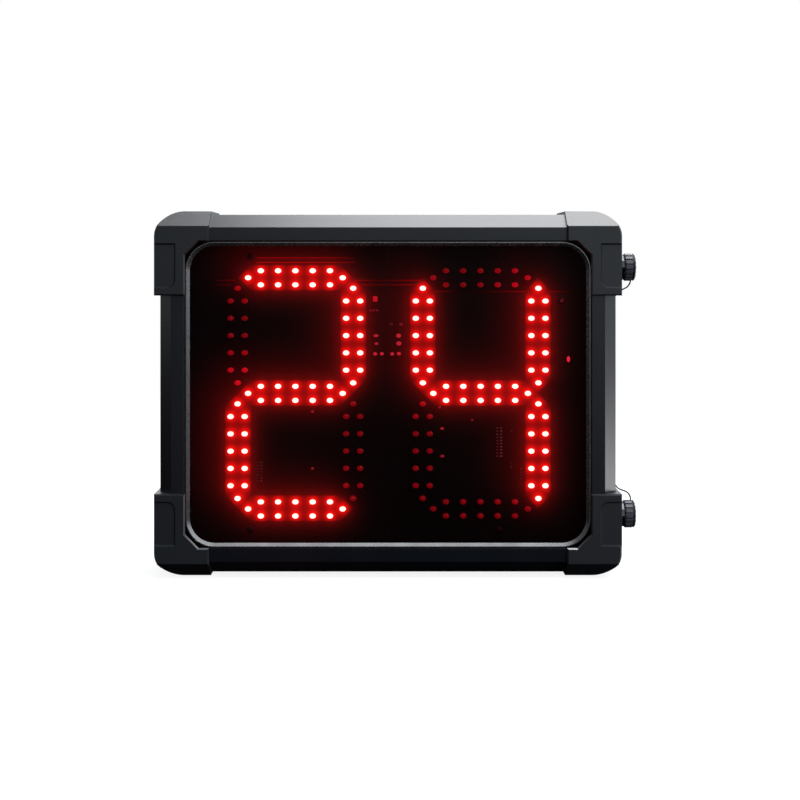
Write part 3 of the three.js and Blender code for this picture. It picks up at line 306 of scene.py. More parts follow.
def make_camera():
    data = bpy.data.cameras.new("camera")
    data.lens = CAMERA_LENS
    data.sensor_width = CAMERA_SENSOR
    data.shift_x = CAMERA_SHIFT_X
    data.shift_y = CAMERA_SHIFT_Y
    camera = bpy.data.objects.new("camera", data)
    camera.location = at(0, -HALF_DEPTH - CAMERA_DISTANCE, CAMERA_ABOVE_MIDDLE)
    camera.rotation_euler = (math.radians(CAMERA_TILT), 0, 0)
    bpy.context.scene.collection.objects.link(camera)
    bpy.context.scene.camera = camera


# Meshes

def link(name, mesh, material, smooth_angle):
    obj = bpy.data.objects.new(name, mesh)
    bpy.context.scene.collection.objects.link(obj)
    mesh.materials.append(material)
    mesh.shade_smooth()
    mesh.set_sharp_from_angle(angle=math.radians(smooth_angle))
    return obj


def piece(name, points, faces, material, smooth_angle=SMOOTH_ANGLE):
    """A piece on the housing, from points in millimetres about the body's middle."""
    mesh = bpy.data.meshes.new(name)
    mesh.from_pydata([at(*point) for point in points], [], faces)
    shell = bmesh.new()
    shell.from_mesh(mesh)
    bmesh.ops.recalc_face_normals(shell, faces=shell.faces)
    shell.to_mesh(mesh)
    shell.free()
    obj = link(name, mesh, material, smooth_angle)
    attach(obj, "housing")
    return obj


def lathe(rings, sides, place, squash=1.0):
    """A solid turned about Y and squashed along Z; rings are (radius, y), from the axis to the axis."""
    x0, y0, z0 = place
    points = []
    rows = []
    for radius, y in rings:
        if radius == 0:
            rows.append([len(points)])
            points.append((x0, y0 + y, z0))
            continue
        rows.append(list(range(len(points), len(points) + sides)))
        for i in range(sides):
            angle = 2 * math.pi * i / sides
            points.append((x0 + radius * math.cos(angle), y0 + y, z0 + squash * radius * math.sin(angle)))
    faces = []
    for low, high in zip(rows, rows[1:]):
        for i in range(sides):
            j = (i + 1) % sides
            corners = [low[i % len(low)], low[j % len(low)], high[j % len(high)], high[i % len(high)]]
            unique = list(dict.fromkeys(corners))
            if len(unique) > 2:
                faces.append(unique)
    return points, faces


def block(x0, x1, y0, y1, z0, z1):
    points = [(x, y, z) for x in (x0, x1) for y in (y0, y1) for z in (z0, z1)]
    faces = [(0, 1, 3, 2), (4, 6, 7, 5), (0, 4, 5, 1), (2, 3, 7, 6), (0, 2, 6, 4), (1, 5, 7, 3)]
    return points, faces


def combined(shapes):
    """One shape from several."""
    points = []
    faces = []
    for shape_points, shape_faces in shapes:
        start = len(points)
        points.extend(shape_points)
        faces.extend([tuple(start + i for i in face) for face in shape_faces])
    return points, faces


def steps(low, high, count):
    return [low + (high - low) * i / count for i in range(count + 1)]


def closed_plate(front, row_length, back):
    """A plate whose front is a grid of points in rows and whose flat back is at y = back."""
    row_count = len(front) // row_length
    faces = []
    for j in range(row_count - 1):
        for i in range(row_length - 1):
            k = j * row_length + i
            faces.append((k, k + 1, k + row_length + 1, k + row_length))
    last_row = (row_count - 1) * row_length
    edge = list(range(row_length))
    edge += [j * row_length + row_length - 1 for j in range(1, row_count)]
    edge += [last_row + i for i in range(row_length - 2, -1, -1)]
    edge += [j * row_length for j in range(row_count - 2, 0, -1)]
    start = len(front)
    points = front + [(front[i][0], back, front[i][2]) for i in edge]
    for k in range(len(edge)):
        following = (k + 1) % len(edge)
        faces.append((edge[k], edge[following], start + following, start + k))
    faces.append(tuple(start + k for k in range(len(edge))))
    return points, faces


def grid_plate(name, xs, zs, front, back, material):
    """A flat plate whose face is fine enough to carry the painted light of the lamps."""
    points, faces = closed_plate([(x, front, z) for z in zs for x in xs], len(xs), back)
    return piece(name, points, faces, material)


# Material nodes

RANGE_SOCKETS = ("From Min", "From Max", "To Min", "To Max")


def new_material(name):
    material = bpy.data.materials.new(name)
    material.use_nodes = True
    tree = material.node_tree
    return material, tree, tree.nodes["Principled BSDF"]


def noise(tree, scale, stretch=(1, 1, 1), detail=4):
    place = tree.nodes.new("ShaderNodeTexCoord")
    mapping = tree.nodes.new("ShaderNodeMapping")
    mapping.inputs["Scale"].default_value = stretch
    tree.links.new(place.outputs["Object"], mapping.inputs["Vector"])
    node = tree.nodes.new("ShaderNodeTexNoise")
    node.inputs["Scale"].default_value = scale
    node.inputs["Detail"].default_value = detail
    tree.links.new(mapping.outputs["Vector"], node.inputs["Vector"])
    return node.outputs["Fac"]


def map_range(tree, value, limits, smooth=False):
    """Turns one range into another; limits are the lowest and highest value before and after."""
    node = tree.nodes.new("ShaderNodeMapRange")
    if smooth:
        node.interpolation_type = "SMOOTHSTEP"
    for socket, limit in zip(RANGE_SOCKETS, limits):
        node.inputs[socket].default_value = limit
    tree.links.new(value, node.inputs["Value"])
    return node.outputs["Result"]


def tint(tree, factor, dark, light, low=0.3, high=0.7):
    ramp = tree.nodes.new("ShaderNodeValToRGB")
    ramp.color_ramp.elements[0].position = low
    ramp.color_ramp.elements[0].color = (*dark, 1)
    ramp.color_ramp.elements[1].position = high
    ramp.color_ramp.elements[1].color = (*light, 1)
    tree.links.new(factor, ramp.inputs["Fac"])
    return ramp.outputs["Color"]


def bump(tree, shader, height, strength, distance):
    node = tree.nodes.new("ShaderNodeBump")
    node.inputs["Strength"].default_value = strength
    node.inputs["Distance"].default_value = distance
    tree.links.new(height, node.inputs["Height"])
    tree.links.new(node.outputs["Normal"], shader.inputs["Normal"])


def surface(name, dark, light, roughness, metallic=0.0, grain=900.0, stretch=(1, 1, 1), relief=0.15,
            relief_depth=0.00005, patches=25.0, specular=0.5):
    """Colour in soft patches, roughness in a finer grain, and the grain's relief, its depth in metres."""
    material, tree, shader = new_material(name)
    shader.inputs["Metallic"].default_value = metallic
    shader.inputs["Specular IOR Level"].default_value = specular
    tree.links.new(tint(tree, noise(tree, patches), dark, light), shader.inputs["Base Color"])
    fine = noise(tree, grain, stretch)
    tree.links.new(map_range(tree, fine, (0, 1, *roughness)), shader.inputs["Roughness"])
    bump(tree, shader, fine, relief, relief_depth)
    return material


def rail_surface(name, stretch, specular=0.62):
    """Anodised aluminium, half as metallic as it is specular."""
    return surface(name, (0.004, 0.0052, 0.0078), (0.0055, 0.007, 0.01), (0.3, 0.4), metallic=specular / 2,
                   grain=700, stretch=stretch, relief=0.12, relief_depth=0.00003, specular=specular)


def panel_surface(patches=40, roughness=(0.05, 0.09)):
    """Dark tinted acrylic: what is behind it shows through, and it keeps a polished face."""
    material, tree, shader = new_material("panel_acrylic")
    shader.inputs["Base Color"].default_value = (0.0025, 0.0002, 0.0005, 1)
    shader.inputs["Alpha"].default_value = 0.3
    shader.inputs["Specular IOR Level"].default_value = 0.045
    tree.links.new(map_range(tree, noise(tree, patches), (0, 1, *roughness)), shader.inputs["Roughness"])
    return material


def glow_surface(name, dark, light, roughness, specular=0.1):
    """A surface that gives off the light which its points carry as their glow: a lamp's own light, or light
    painted on what the lamps light.
    """
    material = surface(name, dark, light, roughness, grain=600, specular=specular)
    tree = material.node_tree
    shader = tree.nodes["Principled BSDF"]
    value = tree.nodes.new("ShaderNodeAttribute")
    value.attribute_name = "glow"
    tree.links.new(value.outputs["Color"], shader.inputs["Emission Color"])
    shader.inputs["Emission Strength"].default_value = 1
    return material


# Materials: a name, the dark and light colour of the patches, and the range of the roughness

GRAIN_ALONG_X = (0.02, 1, 1)
GRAIN_ALONG_Z = (1, 1, 0.02)
GRAIN_ACROSS_X = (1, 0.02, 0.02)

RAIL_ALONG_X = rail_surface("anodised_along_x", GRAIN_ALONG_X)
RAIL_ALONG_Z = rail_surface("anodised_along_z", GRAIN_ALONG_Z)
# The bottom rail's copy of the anodised aluminium with almost no specular: painted shade along the bottom of
# the frame
RAIL_PAINTED_SHADE = rail_surface("anodised_painted_shade", GRAIN_ALONG_X, specular=0.05)
GUARD = surface(
    "moulded_guard", (0.004, 0.0052, 0.0075), (0.0058, 0.0072, 0.0098), (0.38, 0.5),
    grain=1500, relief=0.3, relief_depth=0.00004)
# A duller copy of the guard's material with little specular: painted shade on its pocket steps and arm ends
GUARD_PAINTED_SHADE = surface(
    "guard_step_painted_shade", (0.006, 0.0075, 0.01), (0.009, 0.011, 0.014), (0.6, 0.75),
    grain=1500, relief=0.3, relief_depth=0.00004, specular=0.14)
# A lighter, glossier copy of the guard's material: a painted highlight on its gusset
GUARD_PAINTED_GLINT = surface(
    "guard_painted_glint", (0.03, 0.034, 0.04), (0.04, 0.045, 0.052), (0.25, 0.35),
    grain=1500, relief=0.1, relief_depth=0.00003, specular=1.0)
KEY = surface("nylon_key", (0.03, 0.03, 0.034), (0.04, 0.04, 0.045), (0.5, 0.65))
PANEL = panel_surface()
BEZEL = surface(
    "bezel_trim", (0.15, 0.147, 0.149), (0.2, 0.196, 0.198), (0.24, 0.3),
    metallic=0.9, grain=1400, relief=0.02, relief_depth=0.00003, patches=60)
STEEL = surface(
    "zinc_steel", (0.42, 0.43, 0.44), (0.6, 0.61, 0.63), (0.25, 0.45), metallic=1, grain=1200, patches=60)
# Steel of the screws on the boards, painted dark and tinted red: painted shade and the lamps' painted red
# light
SHADE_AND_RED_LIGHT_STEEL = surface(
    "screw_painted_shade_red_light", (0.03, 0.006, 0.008), (0.06, 0.012, 0.015), (0.35, 0.5), metallic=1, grain=1200)
NICKEL = surface(
    "dark_nickel", (0.04, 0.04, 0.045), (0.056, 0.056, 0.063), (0.25, 0.35), metallic=1, relief=0.05)
COVER = surface(
    "powder_coat", (0.018, 0.02, 0.024), (0.026, 0.028, 0.033), (0.45, 0.6),
    grain=1100, relief=0.5, relief_depth=0.00008)
RUBBER = surface("rubber", (0.01, 0.01, 0.01), (0.018, 0.018, 0.018), (0.7, 0.85))
CAP = surface(
    "cap_plastic", (0.036, 0.038, 0.046), (0.046, 0.048, 0.057), (0.45, 0.55),
    grain=1300, relief=0.1, specular=0.3)
CORD = surface(
    "tether_cord", (0.006, 0.006, 0.007), (0.01, 0.01, 0.012), (0.6, 0.7), grain=2500, specular=0.2)
CASING = surface("black_casing", (0.015, 0.015, 0.017), (0.024, 0.024, 0.027), (0.45, 0.6))
CONTROL = surface("control_board", (0.006, 0.05, 0.022), (0.01, 0.08, 0.035), (0.3, 0.4), patches=300)
BAR = surface(
    "mill_aluminium", (0.4, 0.4, 0.41), (0.5, 0.5, 0.51), (0.3, 0.45),
    metallic=1, grain=700, stretch=GRAIN_ALONG_X)
RIBBON = surface(
    "ribbon_cable", (0.2, 0.21, 0.22), (0.3, 0.31, 0.33), (0.4, 0.5), grain=1300, stretch=GRAIN_ACROSS_X)
BOARD = glow_surface("board_mask", (0.001, 0.0008, 0.001), (0.0018, 0.0012, 0.0015), (0.45, 0.6))
MASK = glow_surface("segment_mask", (0.001, 0.0008, 0.001), (0.0016, 0.0011, 0.0014), (0.45, 0.6))
LAMP_ON = glow_surface("lamp_on", (0.3, 0.004, 0.004), (0.36, 0.005, 0.005), (0.2, 0.3), specular=0.3)
LAMP_OFF = glow_surface(
    "lamp_off", (0.05, 0.001, 0.001), (0.07, 0.0015, 0.0015), (0.25, 0.35), specular=0.15)
# Metal of the small board parts, tinted red and glowing: the lamps' painted light on them
LIT_METAL = glow_surface(
    "lit_solder", (0.05, 0.01, 0.012), (0.08, 0.018, 0.02), (0.25, 0.4), specular=0.15)
TRACE = glow_surface(
    "lit_trace", (0.004, 0.0005, 0.0005), (0.006, 0.0008, 0.0008), (0.5, 0.6), specular=0.02)

NODE_MATERIALS = {
    "top_rail": RAIL_ALONG_X, "bottom_rail": RAIL_PAINTED_SHADE, "left_rail": RAIL_ALONG_Z,
    "right_rail": RAIL_ALONG_Z, "front_panel": PANEL, "panel_bezel": BEZEL, "rear_cover": COVER,
    "rear_seal": RUBBER, "control_board": CONTROL, "power_module": CASING, "horn": CASING,
    "ribbon_cable": RIBBON,
}
START_MATERIALS = {"cover_screw": STEEL}
ENDING_MATERIALS = {
    "_guard": GUARD, "_key": KEY, "_hanger": STEEL, "_board_bar": BAR, "_board_screw": SHADE_AND_RED_LIGHT_STEEL,
    "_led_board": BOARD, "_socket_body": NICKEL, "_socket_insert": CASING, "_socket_nut": NICKEL,
    "_socket_gasket": RUBBER, "_socket_lead": CORD, "_cap": CAP, "_cap_seal": RUBBER, "_anchor": NICKEL,
    "_tether_ring": CORD, "_tether": CORD,
}


# Nodes of the frame

def node_material(name):
    if name in NODE_MATERIALS:
        return NODE_MATERIALS[name]
    fitting = [choice for start, choice in START_MATERIALS.items() if name.startswith(start)]
    fitting += [choice for ending, choice in ENDING_MATERIALS.items() if name.endswith(ending)]
    return fitting[0]


def paint_guard_slopes(mesh):
    """Paints light and shade on a guard's narrow slopes with copies of its material: painted shade on the
    steps and arm ends, and a painted glint on the gusset.
    """
    mesh.materials.append(GUARD_PAINTED_SHADE)
    mesh.materials.append(GUARD_PAINTED_GLINT)
    for face in mesh.polygons:
        across, up = from_middle(face.center)
        x = abs(across)
        if not SLOPE_SHARES[0] < -face.normal.y < SLOPE_SHARES[1]:
            continue
        pocket_step = x > STEP_FROM_X and abs(up) < STEP_TO_Z
        arm_end = x < ARM_END_TO_X and abs(face.normal.x) > ARM_END_SHARE
        gusset = x < GUSSET_TO_X and GUSSET_FROM_Z < -up < GUSSET_TO_Z and face.normal.z > GUSSET_SHARE
        if pocket_step or arm_end:
            face.material_index = 1
        elif gusset:
            face.material_index = 2


def soften_edges(node, width):
    bevel = node.modifiers.new("soft_edges", "BEVEL")
    bevel.width = width * MM
    bevel.segments = SOFT_EDGE_SEGMENTS
    bevel.limit_method = "ANGLE"
    bevel.angle_limit = math.radians(SOFTEN_FROM_ANGLE)
    bevel.use_clamp_overlap = True
    normals = node.modifiers.new("normals", "WEIGHTED_NORMAL")
    normals.keep_sharp = True


def sharpen_edges(node):
    split = node.modifiers.new("sharp_edges", "EDGE_SPLIT")
    split.split_angle = math.radians(SMOOTH_ANGLE)


def dress_nodes():
    for name, node in NODES.items():
        mesh = node.data
        mesh.materials.clear()
        mesh.materials.append(node_material(name))
        if name.endswith("_guard"):
            paint_guard_slopes(mesh)
        if "custom_normal" in mesh.attributes:
            mesh.attributes.remove(mesh.attributes["custom_normal"])
        mesh.shade_smooth()
        weld = node.modifiers.new("weld", "WELD")
        weld.merge_threshold = WELD_REACH * MM
        widths = [width for ending, width in SOFT_EDGE_WIDTHS.items() if name.endswith(ending)]
        if widths:
            soften_edges(node, widths[0])
        else:
            sharpen_edges(node)


# Tethers

def route_points(level):
    """Points along a smooth curve through a tether's route; level is 1 for the upper, -1 for the lower."""
    route = [at(x, y, level * up) for x, y, up in TETHER_ROUTE]
    points = []
    for i in range(len(route) - 1):
        before = route[max(i - 1, 0)]
        start, end = route[i], route[i + 1]
        after = route[min(i + 2, len(route) - 1)]
        for k in range(TETHER_STEPS):
            t = k / TETHER_STEPS
            points.append(0.5 * (
                2 * start + (end - before) * t + (2 * before - 5 * start + 4 * end - after) * t * t
                + (3 * start - 3 * end + after - before) * t * t * t))
    points.append(route[-1])
    return points


def tube(name, path, radius, sides, material):
    shell = bmesh.new()
    rings = []
    side = Vector((0, 1, 0))
    for i, point in enumerate(path):
        ahead = (path[min(i + 1, len(path) - 1)] - path[max(i - 1, 0)]).normalized()
        side = (side - ahead * side.dot(ahead)).normalized()
        up = ahead.cross(side)
        rings.append([
            shell.verts.new(point + radius * (math.cos(a) * side + math.sin(a) * up))
            for a in (2 * math.pi * k / sides for k in range(sides))
        ])
    for low, high in zip(rings, rings[1:]):
        for k in range(sides):
            shell.faces.new((low[k], low[(k + 1) % sides], high[(k + 1) % sides], high[k]))
    shell.faces.new(rings[0])
    shell.faces.new(rings[-1])
    bmesh.ops.recalc_face_normals(shell, faces=shell.faces)
    mesh = bpy.data.meshes.new(name)
    shell.to_mesh(mesh)
    shell.free()
    return link(name, mesh, material, TETHER_SMOOTH_ANGLE)


def make_tethers():
    for name, level in (("upper", 1), ("lower", -1)):
        path = list(reversed(route_points(level)))
        obj = tube(f"{name}_tether_cord", path, TETHER_RADIUS * MM, TETHER_SIDES, CORD)
        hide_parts(f"{name}_tether")
        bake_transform(obj)


# Segments and lamps

def turned(along, offset, level):
    return (along, offset) if level else (offset, along)


def segment_middle(side, letter):
    across, up, _ = SEGMENTS[letter]
    return DIGITS[side][0] + across * SEGMENT_SPACING, up * SEGMENT_SPACING


def lamp_places(side, letter):
    """The middles of a segment's lamps: pairs along it and one at each end."""
    run = []
    for i in range(LED_PAIRS):
        along = (i - (LED_PAIRS - 1) / 2) * LED_PITCH
        run += [(along, -LED_ROW_GAP / 2), (along, LED_ROW_GAP / 2)]
    end = (LED_PAIRS - 1) / 2 * LED_PITCH + LED_END_STEP
    run += [(-end, 0), (end, 0)]
    middle_x, middle_z = segment_middle(side, letter)
    level = SEGMENTS[letter][2]
    offsets = [turned(along, offset, level) for along, offset in run]
    return [(middle_x + x, middle_z + z) for x, z in offsets]


def lamps_of(side, lit):
    letters = [letter for letter in SEGMENTS if (letter in DIGITS[side][1]) == lit]
    return [place for letter in letters for place in lamp_places(side, letter)]


def lamp_rings():
    """Radius and height of each ring of a lamp, from its foot to its tip."""
    foot = LED_WIDTH / 2
    barrel = LAMP_BARREL_SHARE * foot
    rings = [(0, 0), (foot, 0), (foot, -LAMP_FLANGE_RIM), (barrel, -LAMP_FLANGE_TOP), (barrel, -LED_BARREL)]
    for i in range(1, LAMP_DOME_STEPS):
        angle = math.pi / 2 * i / LAMP_DOME_STEPS
        rings.append((barrel * math.cos(angle), -LED_BARREL - LED_DOME * math.sin(angle)))
    return rings + [(0, -LED_BARREL - LED_DOME)]


LAMP_RINGS = lamp_rings()
LIT_LAMPS = [
    place for side, (_, lit) in DIGITS.items() for letter in lit for place in lamp_places(side, letter)
]


def lamp_shape(x, z):
    return lathe(LAMP_RINGS, LAMP_SIDES, (x, BOARD_FRONT, z), LED_HEIGHT / LED_WIDTH)


def by_point(ring_values):
    """Repeats a value of each ring of a lamp for every point of that ring."""
    values = []
    for (radius, _), value in zip(LAMP_RINGS, ring_values):
        values += [value] * (LAMP_SIDES if radius else 1)
    return values


def lit_colours():
    """The light of each point of a lit lamp: red at its foot, white-hot over the dome."""
    rings = []
    for _, y in LAMP_RINGS:
        if y > -LED_BARREL:
            rings.append(LAMP_RED)
        elif y == -LED_BARREL:
            rings.append(LAMP_WARM)
        else:
            rings.append(LAMP_HOT)
    return by_point(rings)


def unlit_shares():
    """How much painted light each point of an unlit lamp shows: its barrel less than its dome."""
    return by_point([UNLIT_BARREL_SHARE if y > -LED_BARREL else 1 for _, y in LAMP_RINGS])


def glow_at(x, z, terms):
    """Painted light of all lit lamps at a place: each term is its strength beside one lamp and its reach."""
    total = 0.0
    for lamp_x, lamp_z in LIT_LAMPS:
        square = (x - lamp_x) ** 2 + (z - lamp_z) ** 2
        for strength, reach in terms:
            if square < GLOW_CUTOFF * reach * reach:
                total += strength * math.exp(-square / (reach * reach))
    return total


def haze_at(x, z):
    """The faint painted haze over the board, which lies a little to the left of the lamps and above them."""
    return glow_at(x - HAZE_SHIFT[0], z - HAZE_SHIFT[1], (HAZE,))


def light_at(x, z, *terms):
    return glow_at(x, z, terms) + haze_at(x, z)


def set_colours(obj, colours):
    layer = obj.data.attributes.new("glow", "FLOAT_COLOR", "POINT")
    flat = []
    for colour in colours:
        flat += [*colour, 1.0]
    layer.data.foreach_set("color", flat)


def set_glow(obj, values, colour=GLOW_RED):
    set_colours(obj, [tuple(channel * value for channel in colour) for value in values])


def make_boards():
    for side, (centre, _) in DIGITS.items():
        sign = 1 if centre > 0 else -1
        ends = sorted((sign * BOARD_INNER_EDGE, sign * BOARD_OUTER_EDGE))
        xs = steps(ends[0], ends[1], BOARD_COLUMNS)
        zs = steps(-BOARD_HALF_HEIGHT, BOARD_HALF_HEIGHT, BOARD_ROWS)
        back = BOARD_FRONT + BOARD_THICKNESS
        board = grid_plate(f"{side}_board_plate", xs, zs, BOARD_FRONT, back, BOARD)
        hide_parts(f"{side}_led_board")
        places = [from_middle(vertex.co) for vertex in board.data.vertices]
        set_glow(board, [light_at(x, z, BOARD_GLOW, BOARD_SPILL) for x, z in places])


def mask_shape(side, letter):
    """A thin hexagonal plate whose face is a grid of points: columns along the segment, rows across it."""
    middle_x, middle_z = segment_middle(side, letter)
    level = SEGMENTS[letter][2]
    rows = steps(-1, 1, MASK_ROWS)
    front = []
    for along in steps(-MASK_TIP, MASK_TIP, MASK_COLUMNS):
        half = min(MASK_HALF_WIDTH, MASK_TIP - abs(along) + MASK_TIP_HALF_WIDTH)
        for row in rows:
            x, z = turned(along, row * half, level)
            front.append((middle_x + x, BOARD_FRONT - MASK_HEIGHT, middle_z + z))
    return closed_plate(front, len(rows), BOARD_FRONT)


def mask_shades(count):
    """A lit mask's painted light is a little weaker along its edges; the points of its rim come after those
    of its face.
    """
    shades = []
    for _ in range(MASK_COLUMNS + 1):
        for row in range(MASK_ROWS + 1):
            shades.append(MASK_EDGE_SHADE if row in (0, MASK_ROWS) else 1)
    return shades + [MASK_EDGE_SHADE] * (count - len(shades))


def make_masks(side):
    for letter in SEGMENTS:
        points, faces = mask_shape(side, letter)
        mask = piece(f"{side}_segment_{letter}", points, faces, MASK)
        if letter in DIGITS[side][1]:
            light = [light_at(x, z, MASK_GLOW, MASK_SPILL) for x, _, z in points]
            set_glow(mask, [shade * value for shade, value in zip(mask_shades(len(points)), light)])
        else:
            set_glow(mask, [light_at(x, z, BOARD_GLOW, BOARD_SPILL) for x, _, z in points])


def make_lit_lamps(side):
    places = lamps_of(side, True)
    points, faces = combined([lamp_shape(x, z) for x, z in places])
    lamps = piece(f"{side}_lamps_on", points, faces, LAMP_ON, LAMP_SMOOTH_ANGLE)
    set_colours(lamps, lit_colours() * len(places))


def make_unlit_lamps(side):
    places = lamps_of(side, False)
    points, faces = combined([lamp_shape(x, z) for x, z in places])
    lamps = piece(f"{side}_lamps_off", points, faces, LAMP_OFF, LAMP_SMOOTH_ANGLE)
    values = []
    for x, z in places:
        level = UNLIT_FLOOR + UNLIT_GAIN * haze_at(x, z)
        values += [share * level for share in unlit_shares()]
    set_glow(lamps, values, DULL_RED)


def make_digits():
    for side in DIGITS:
        make_masks(side)
        make_lit_lamps(side)
        make_unlit_lamps(side)


# Small parts on the boards

def add_lit(name, shapes, levels, colour=DULL_RED):
    """One piece from several shapes, each with its own level of painted light."""
    points, faces = combined(shapes)
    obj = piece(name, points, faces, LIT_METAL, smooth_angle=BOARD_PART_SMOOTH_ANGLE)
    values = []
    for (shape_points, _), level in zip(shapes, levels):
        values += [level] * len(shape_points)
    set_glow(obj, values, colour)


def joint_shape(x, z, width, height):
    rings = [(share * width, -rise * width) for share, rise in JOINT_RINGS]
    return lathe(rings, JOINT_SIDES, (x, BOARD_FRONT, z), height / width)


def make_solder_joints():
    joints = [joint_shape(x, z, width, height) for x, z, width, height, _ in SOLDER_JOINTS]
    add_lit("solder_joints", joints, [level for *_, level in SOLDER_JOINTS], PALE_RED)


def make_square_part():
    x, z, width, height, level = SQUARE_PART
    front = BOARD_FRONT - SQUARE_PART_DEPTH
    part = block(x - width / 2, x + width / 2, front, BOARD_FRONT, z - height / 2, z + height / 2)
    add_lit("square_part", [part], [level])


def header_shapes(x, z, rows, columns):
    width, height, depth = PIN_SIZE
    pins = []
    for row in range(rows):
        for column in range(columns):
            left = x + (column - (columns - 1) / 2) * PIN_COLUMN_SPREAD * PIN_PITCH - width / 2
            low = z + (row - (rows - 1) / 2) * PIN_PITCH - height / 2
            pins.append(block(left, left + width, BOARD_FRONT - depth, BOARD_FRONT, low, low + height))
    return pins


def make_headers():
    """Header pins with uneven painted light, the first in each row dimmer than the next."""
    for i, (x, z, rows, columns, level) in enumerate(HEADERS):
        pins = header_shapes(x, z, rows, columns)
        shades = [1 if k % columns else PIN_FIRST_COLUMN_SHADE for k in range(len(pins))]
        levels = [level * random.uniform(*PIN_SHADES) * shade for shade in shades]
        add_lit(f"header_pins_{i + 1}", pins, levels, PIN_RED)


def make_traces():
    for i, (z, start, end) in enumerate(TRACES):
        xs = steps(start, end, TRACE_STEPS)
        zs = [z - TRACE_WIDTH / 2, z + TRACE_WIDTH / 2]
        front = BOARD_FRONT - TRACE_THICKNESS
        trace = grid_plate(f"board_trace_{i + 1}", xs, zs, front, BOARD_FRONT, TRACE)
        across = [from_middle(vertex.co)[0] for vertex in trace.data.vertices]
        set_glow(trace, [TRACE_GLOW + TRACE_GAIN * light_at(x, z, BOARD_SPILL) for x in across])


def recess_arm(sign):
    """One arm of the screw's cross, turned by an eighth to one side or the other."""
    x, z = SCREW_PLACE
    reach = RECESS_REACH_SHARE * SCREW_RADIUS
    eighth = math.sin(math.pi / 4)
    arm, faces = block(-reach, reach, -RECESS_FRONT, -RECESS_BACK, -RECESS_HALF_WIDTH, RECESS_HALF_WIDTH)
    points = []
    for u, v, w in arm:
        points.append((x + eighth * (u - sign * w), BOARD_FRONT + v, z + eighth * (sign * u + w)))
    return points, faces


def make_cross_screw():
    """A cross-recess screw in the right board, beside the digit."""
    x, z = SCREW_PLACE
    rings = [(share * SCREW_RADIUS, -rise) for share, rise in SCREW_RINGS]
    points, faces = lathe(rings, SCREW_SIDES, (x, BOARD_FRONT, z))
    piece("board_cross_screw", points, faces, SHADE_AND_RED_LIGHT_STEEL)
    arms = [recess_arm(-1), recess_arm(1)]
    add_lit("screw_recess", arms, [RECESS_LEVEL] * len(arms), PALE_RED)


# Lights, room, bloom and floor

def make_lights():
    for name, (place, towards, size, power) in LIGHTS.items():
        data = bpy.data.lights.new(name, "AREA")
        data.shape = "RECTANGLE"
        data.size, data.size_y = size
        data.energy = power
        obj = bpy.data.objects.new(name, data)
        obj.location = place
        obj.rotation_euler = (Vector(towards) - Vector(place)).to_track_quat("-Z", "Y").to_euler()
        bpy.context.scene.collection.objects.link(obj)


def make_world():
    """White to the camera; the part sees a dim room that is lighter above and to the right."""
    world = bpy.data.worlds.new("studio")
    bpy.context.scene.world = world
    world.use_nodes = True
    tree = world.node_tree
    room = tree.nodes["Background"]
    room.inputs["Color"].default_value = ROOM_TINT
    direction = tree.nodes.new("ShaderNodeTexCoord")
    parts = tree.nodes.new("ShaderNodeSeparateXYZ")
    tree.links.new(direction.outputs["Generated"], parts.inputs["Vector"])
    by_height = map_range(tree, parts.outputs["Z"], ROOM_BY_HEIGHT, smooth=True)
    by_side = map_range(tree, parts.outputs["X"], ROOM_BY_SIDE)
    product = tree.nodes.new("ShaderNodeMath")
    product.operation = "MULTIPLY"
    tree.links.new(by_height, product.inputs[0])
    tree.links.new(by_side, product.inputs[1])
    tree.links.new(product.outputs["Value"], room.inputs["Strength"])
    plain = tree.nodes.new("ShaderNodeBackground")
    plain.inputs["Color"].default_value = WHITE
    path = tree.nodes.new("ShaderNodeLightPath")
    mix = tree.nodes.new("ShaderNodeMixShader")
    tree.links.new(path.outputs["Is Camera Ray"], mix.inputs["Fac"])
    tree.links.new(room.outputs["Background"], mix.inputs[1])
    tree.links.new(plain.outputs["Background"], mix.inputs[2])
    tree.links.new(mix.outputs["Shader"], tree.nodes["World Output"].inputs["Surface"])


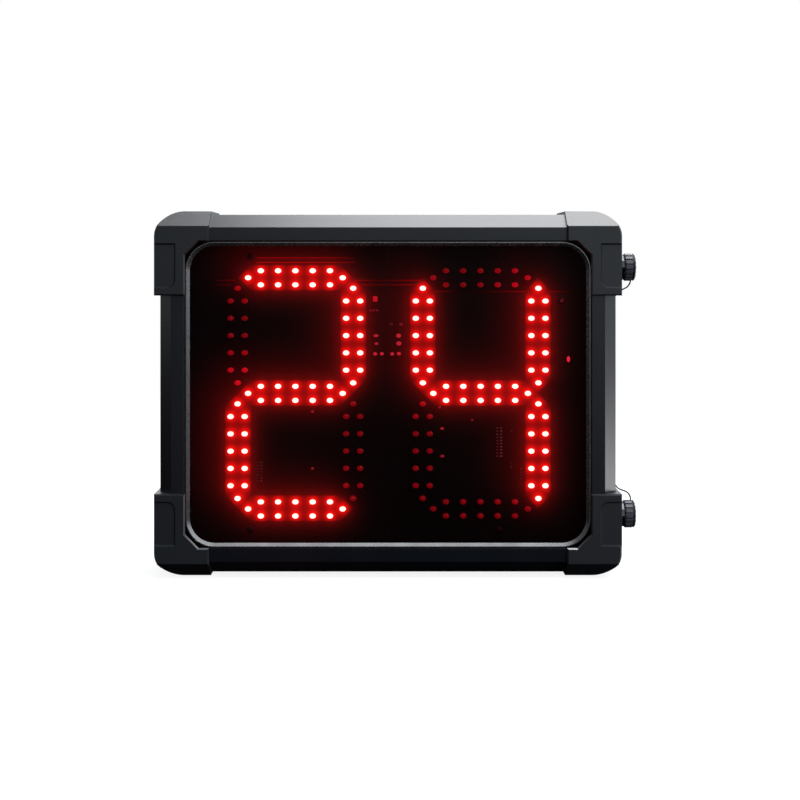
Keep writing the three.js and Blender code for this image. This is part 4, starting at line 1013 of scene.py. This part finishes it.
def make_bloom():
    """A faint bloom around the lit lamps."""
    scene = bpy.context.scene
    scene.use_nodes = True
    tree = scene.node_tree
    tree.nodes.clear()
    layers = tree.nodes.new("CompositorNodeRLayers")
    glare = tree.nodes.new("CompositorNodeGlare")
    glare.glare_type = "BLOOM"
    for name, value in BLOOM.items():
        glare.inputs[name].default_value = value
    output = tree.nodes.new("CompositorNodeComposite")
    tree.links.new(layers.outputs["Image"], glare.inputs["Image"])
    tree.links.new(glare.outputs["Image"], output.inputs["Image"])


def floor_surface():
    """Pale and solid under the part, fading out into the white surroundings."""
    material, tree, shader = new_material("floor")
    shader.inputs["Base Color"].default_value = (FLOOR_GREY, FLOOR_GREY, FLOOR_GREY, 1)
    shader.inputs["Roughness"].default_value = 0.9
    shader.inputs["Specular IOR Level"].default_value = 0.1
    shader.inputs["Emission Color"].default_value = WHITE
    shader.inputs["Emission Strength"].default_value = FLOOR_LIGHT
    place = tree.nodes.new("ShaderNodeTexCoord")
    length = tree.nodes.new("ShaderNodeVectorMath")
    length.operation = "LENGTH"
    tree.links.new(place.outputs["Object"], length.inputs[0])
    limits = (FLOOR_CLEAR_FROM, FLOOR_CLEAR_TO, 1, 0)
    fade = map_range(tree, length.outputs["Value"], limits, smooth=True)
    tree.links.new(fade, shader.inputs["Alpha"])
    return material


def make_floor():
    mesh = bpy.data.meshes.new("floor")
    corners = [(-1, -1), (1, -1), (1, 1), (-1, 1)]
    mesh.from_pydata([(FLOOR_REACH * x, FLOOR_REACH * y, 0) for x, y in corners], [], [(0, 1, 2, 3)])
    mesh.materials.append(floor_surface())
    floor = bpy.data.objects.new("floor", mesh)
    bpy.context.scene.collection.objects.link(floor)
    floor.visible_glossy = False
    floor.visible_diffuse = False
    floor.visible_shadow = False


make_camera()
bpy.context.scene.view_settings.view_transform = "Standard"
make_tethers()
make_floor()
make_world()
make_lights()
dress_nodes()
make_boards()
make_digits()
make_solder_joints()
make_square_part()
make_headers()
make_traces()
make_cross_screw()
make_bloom()
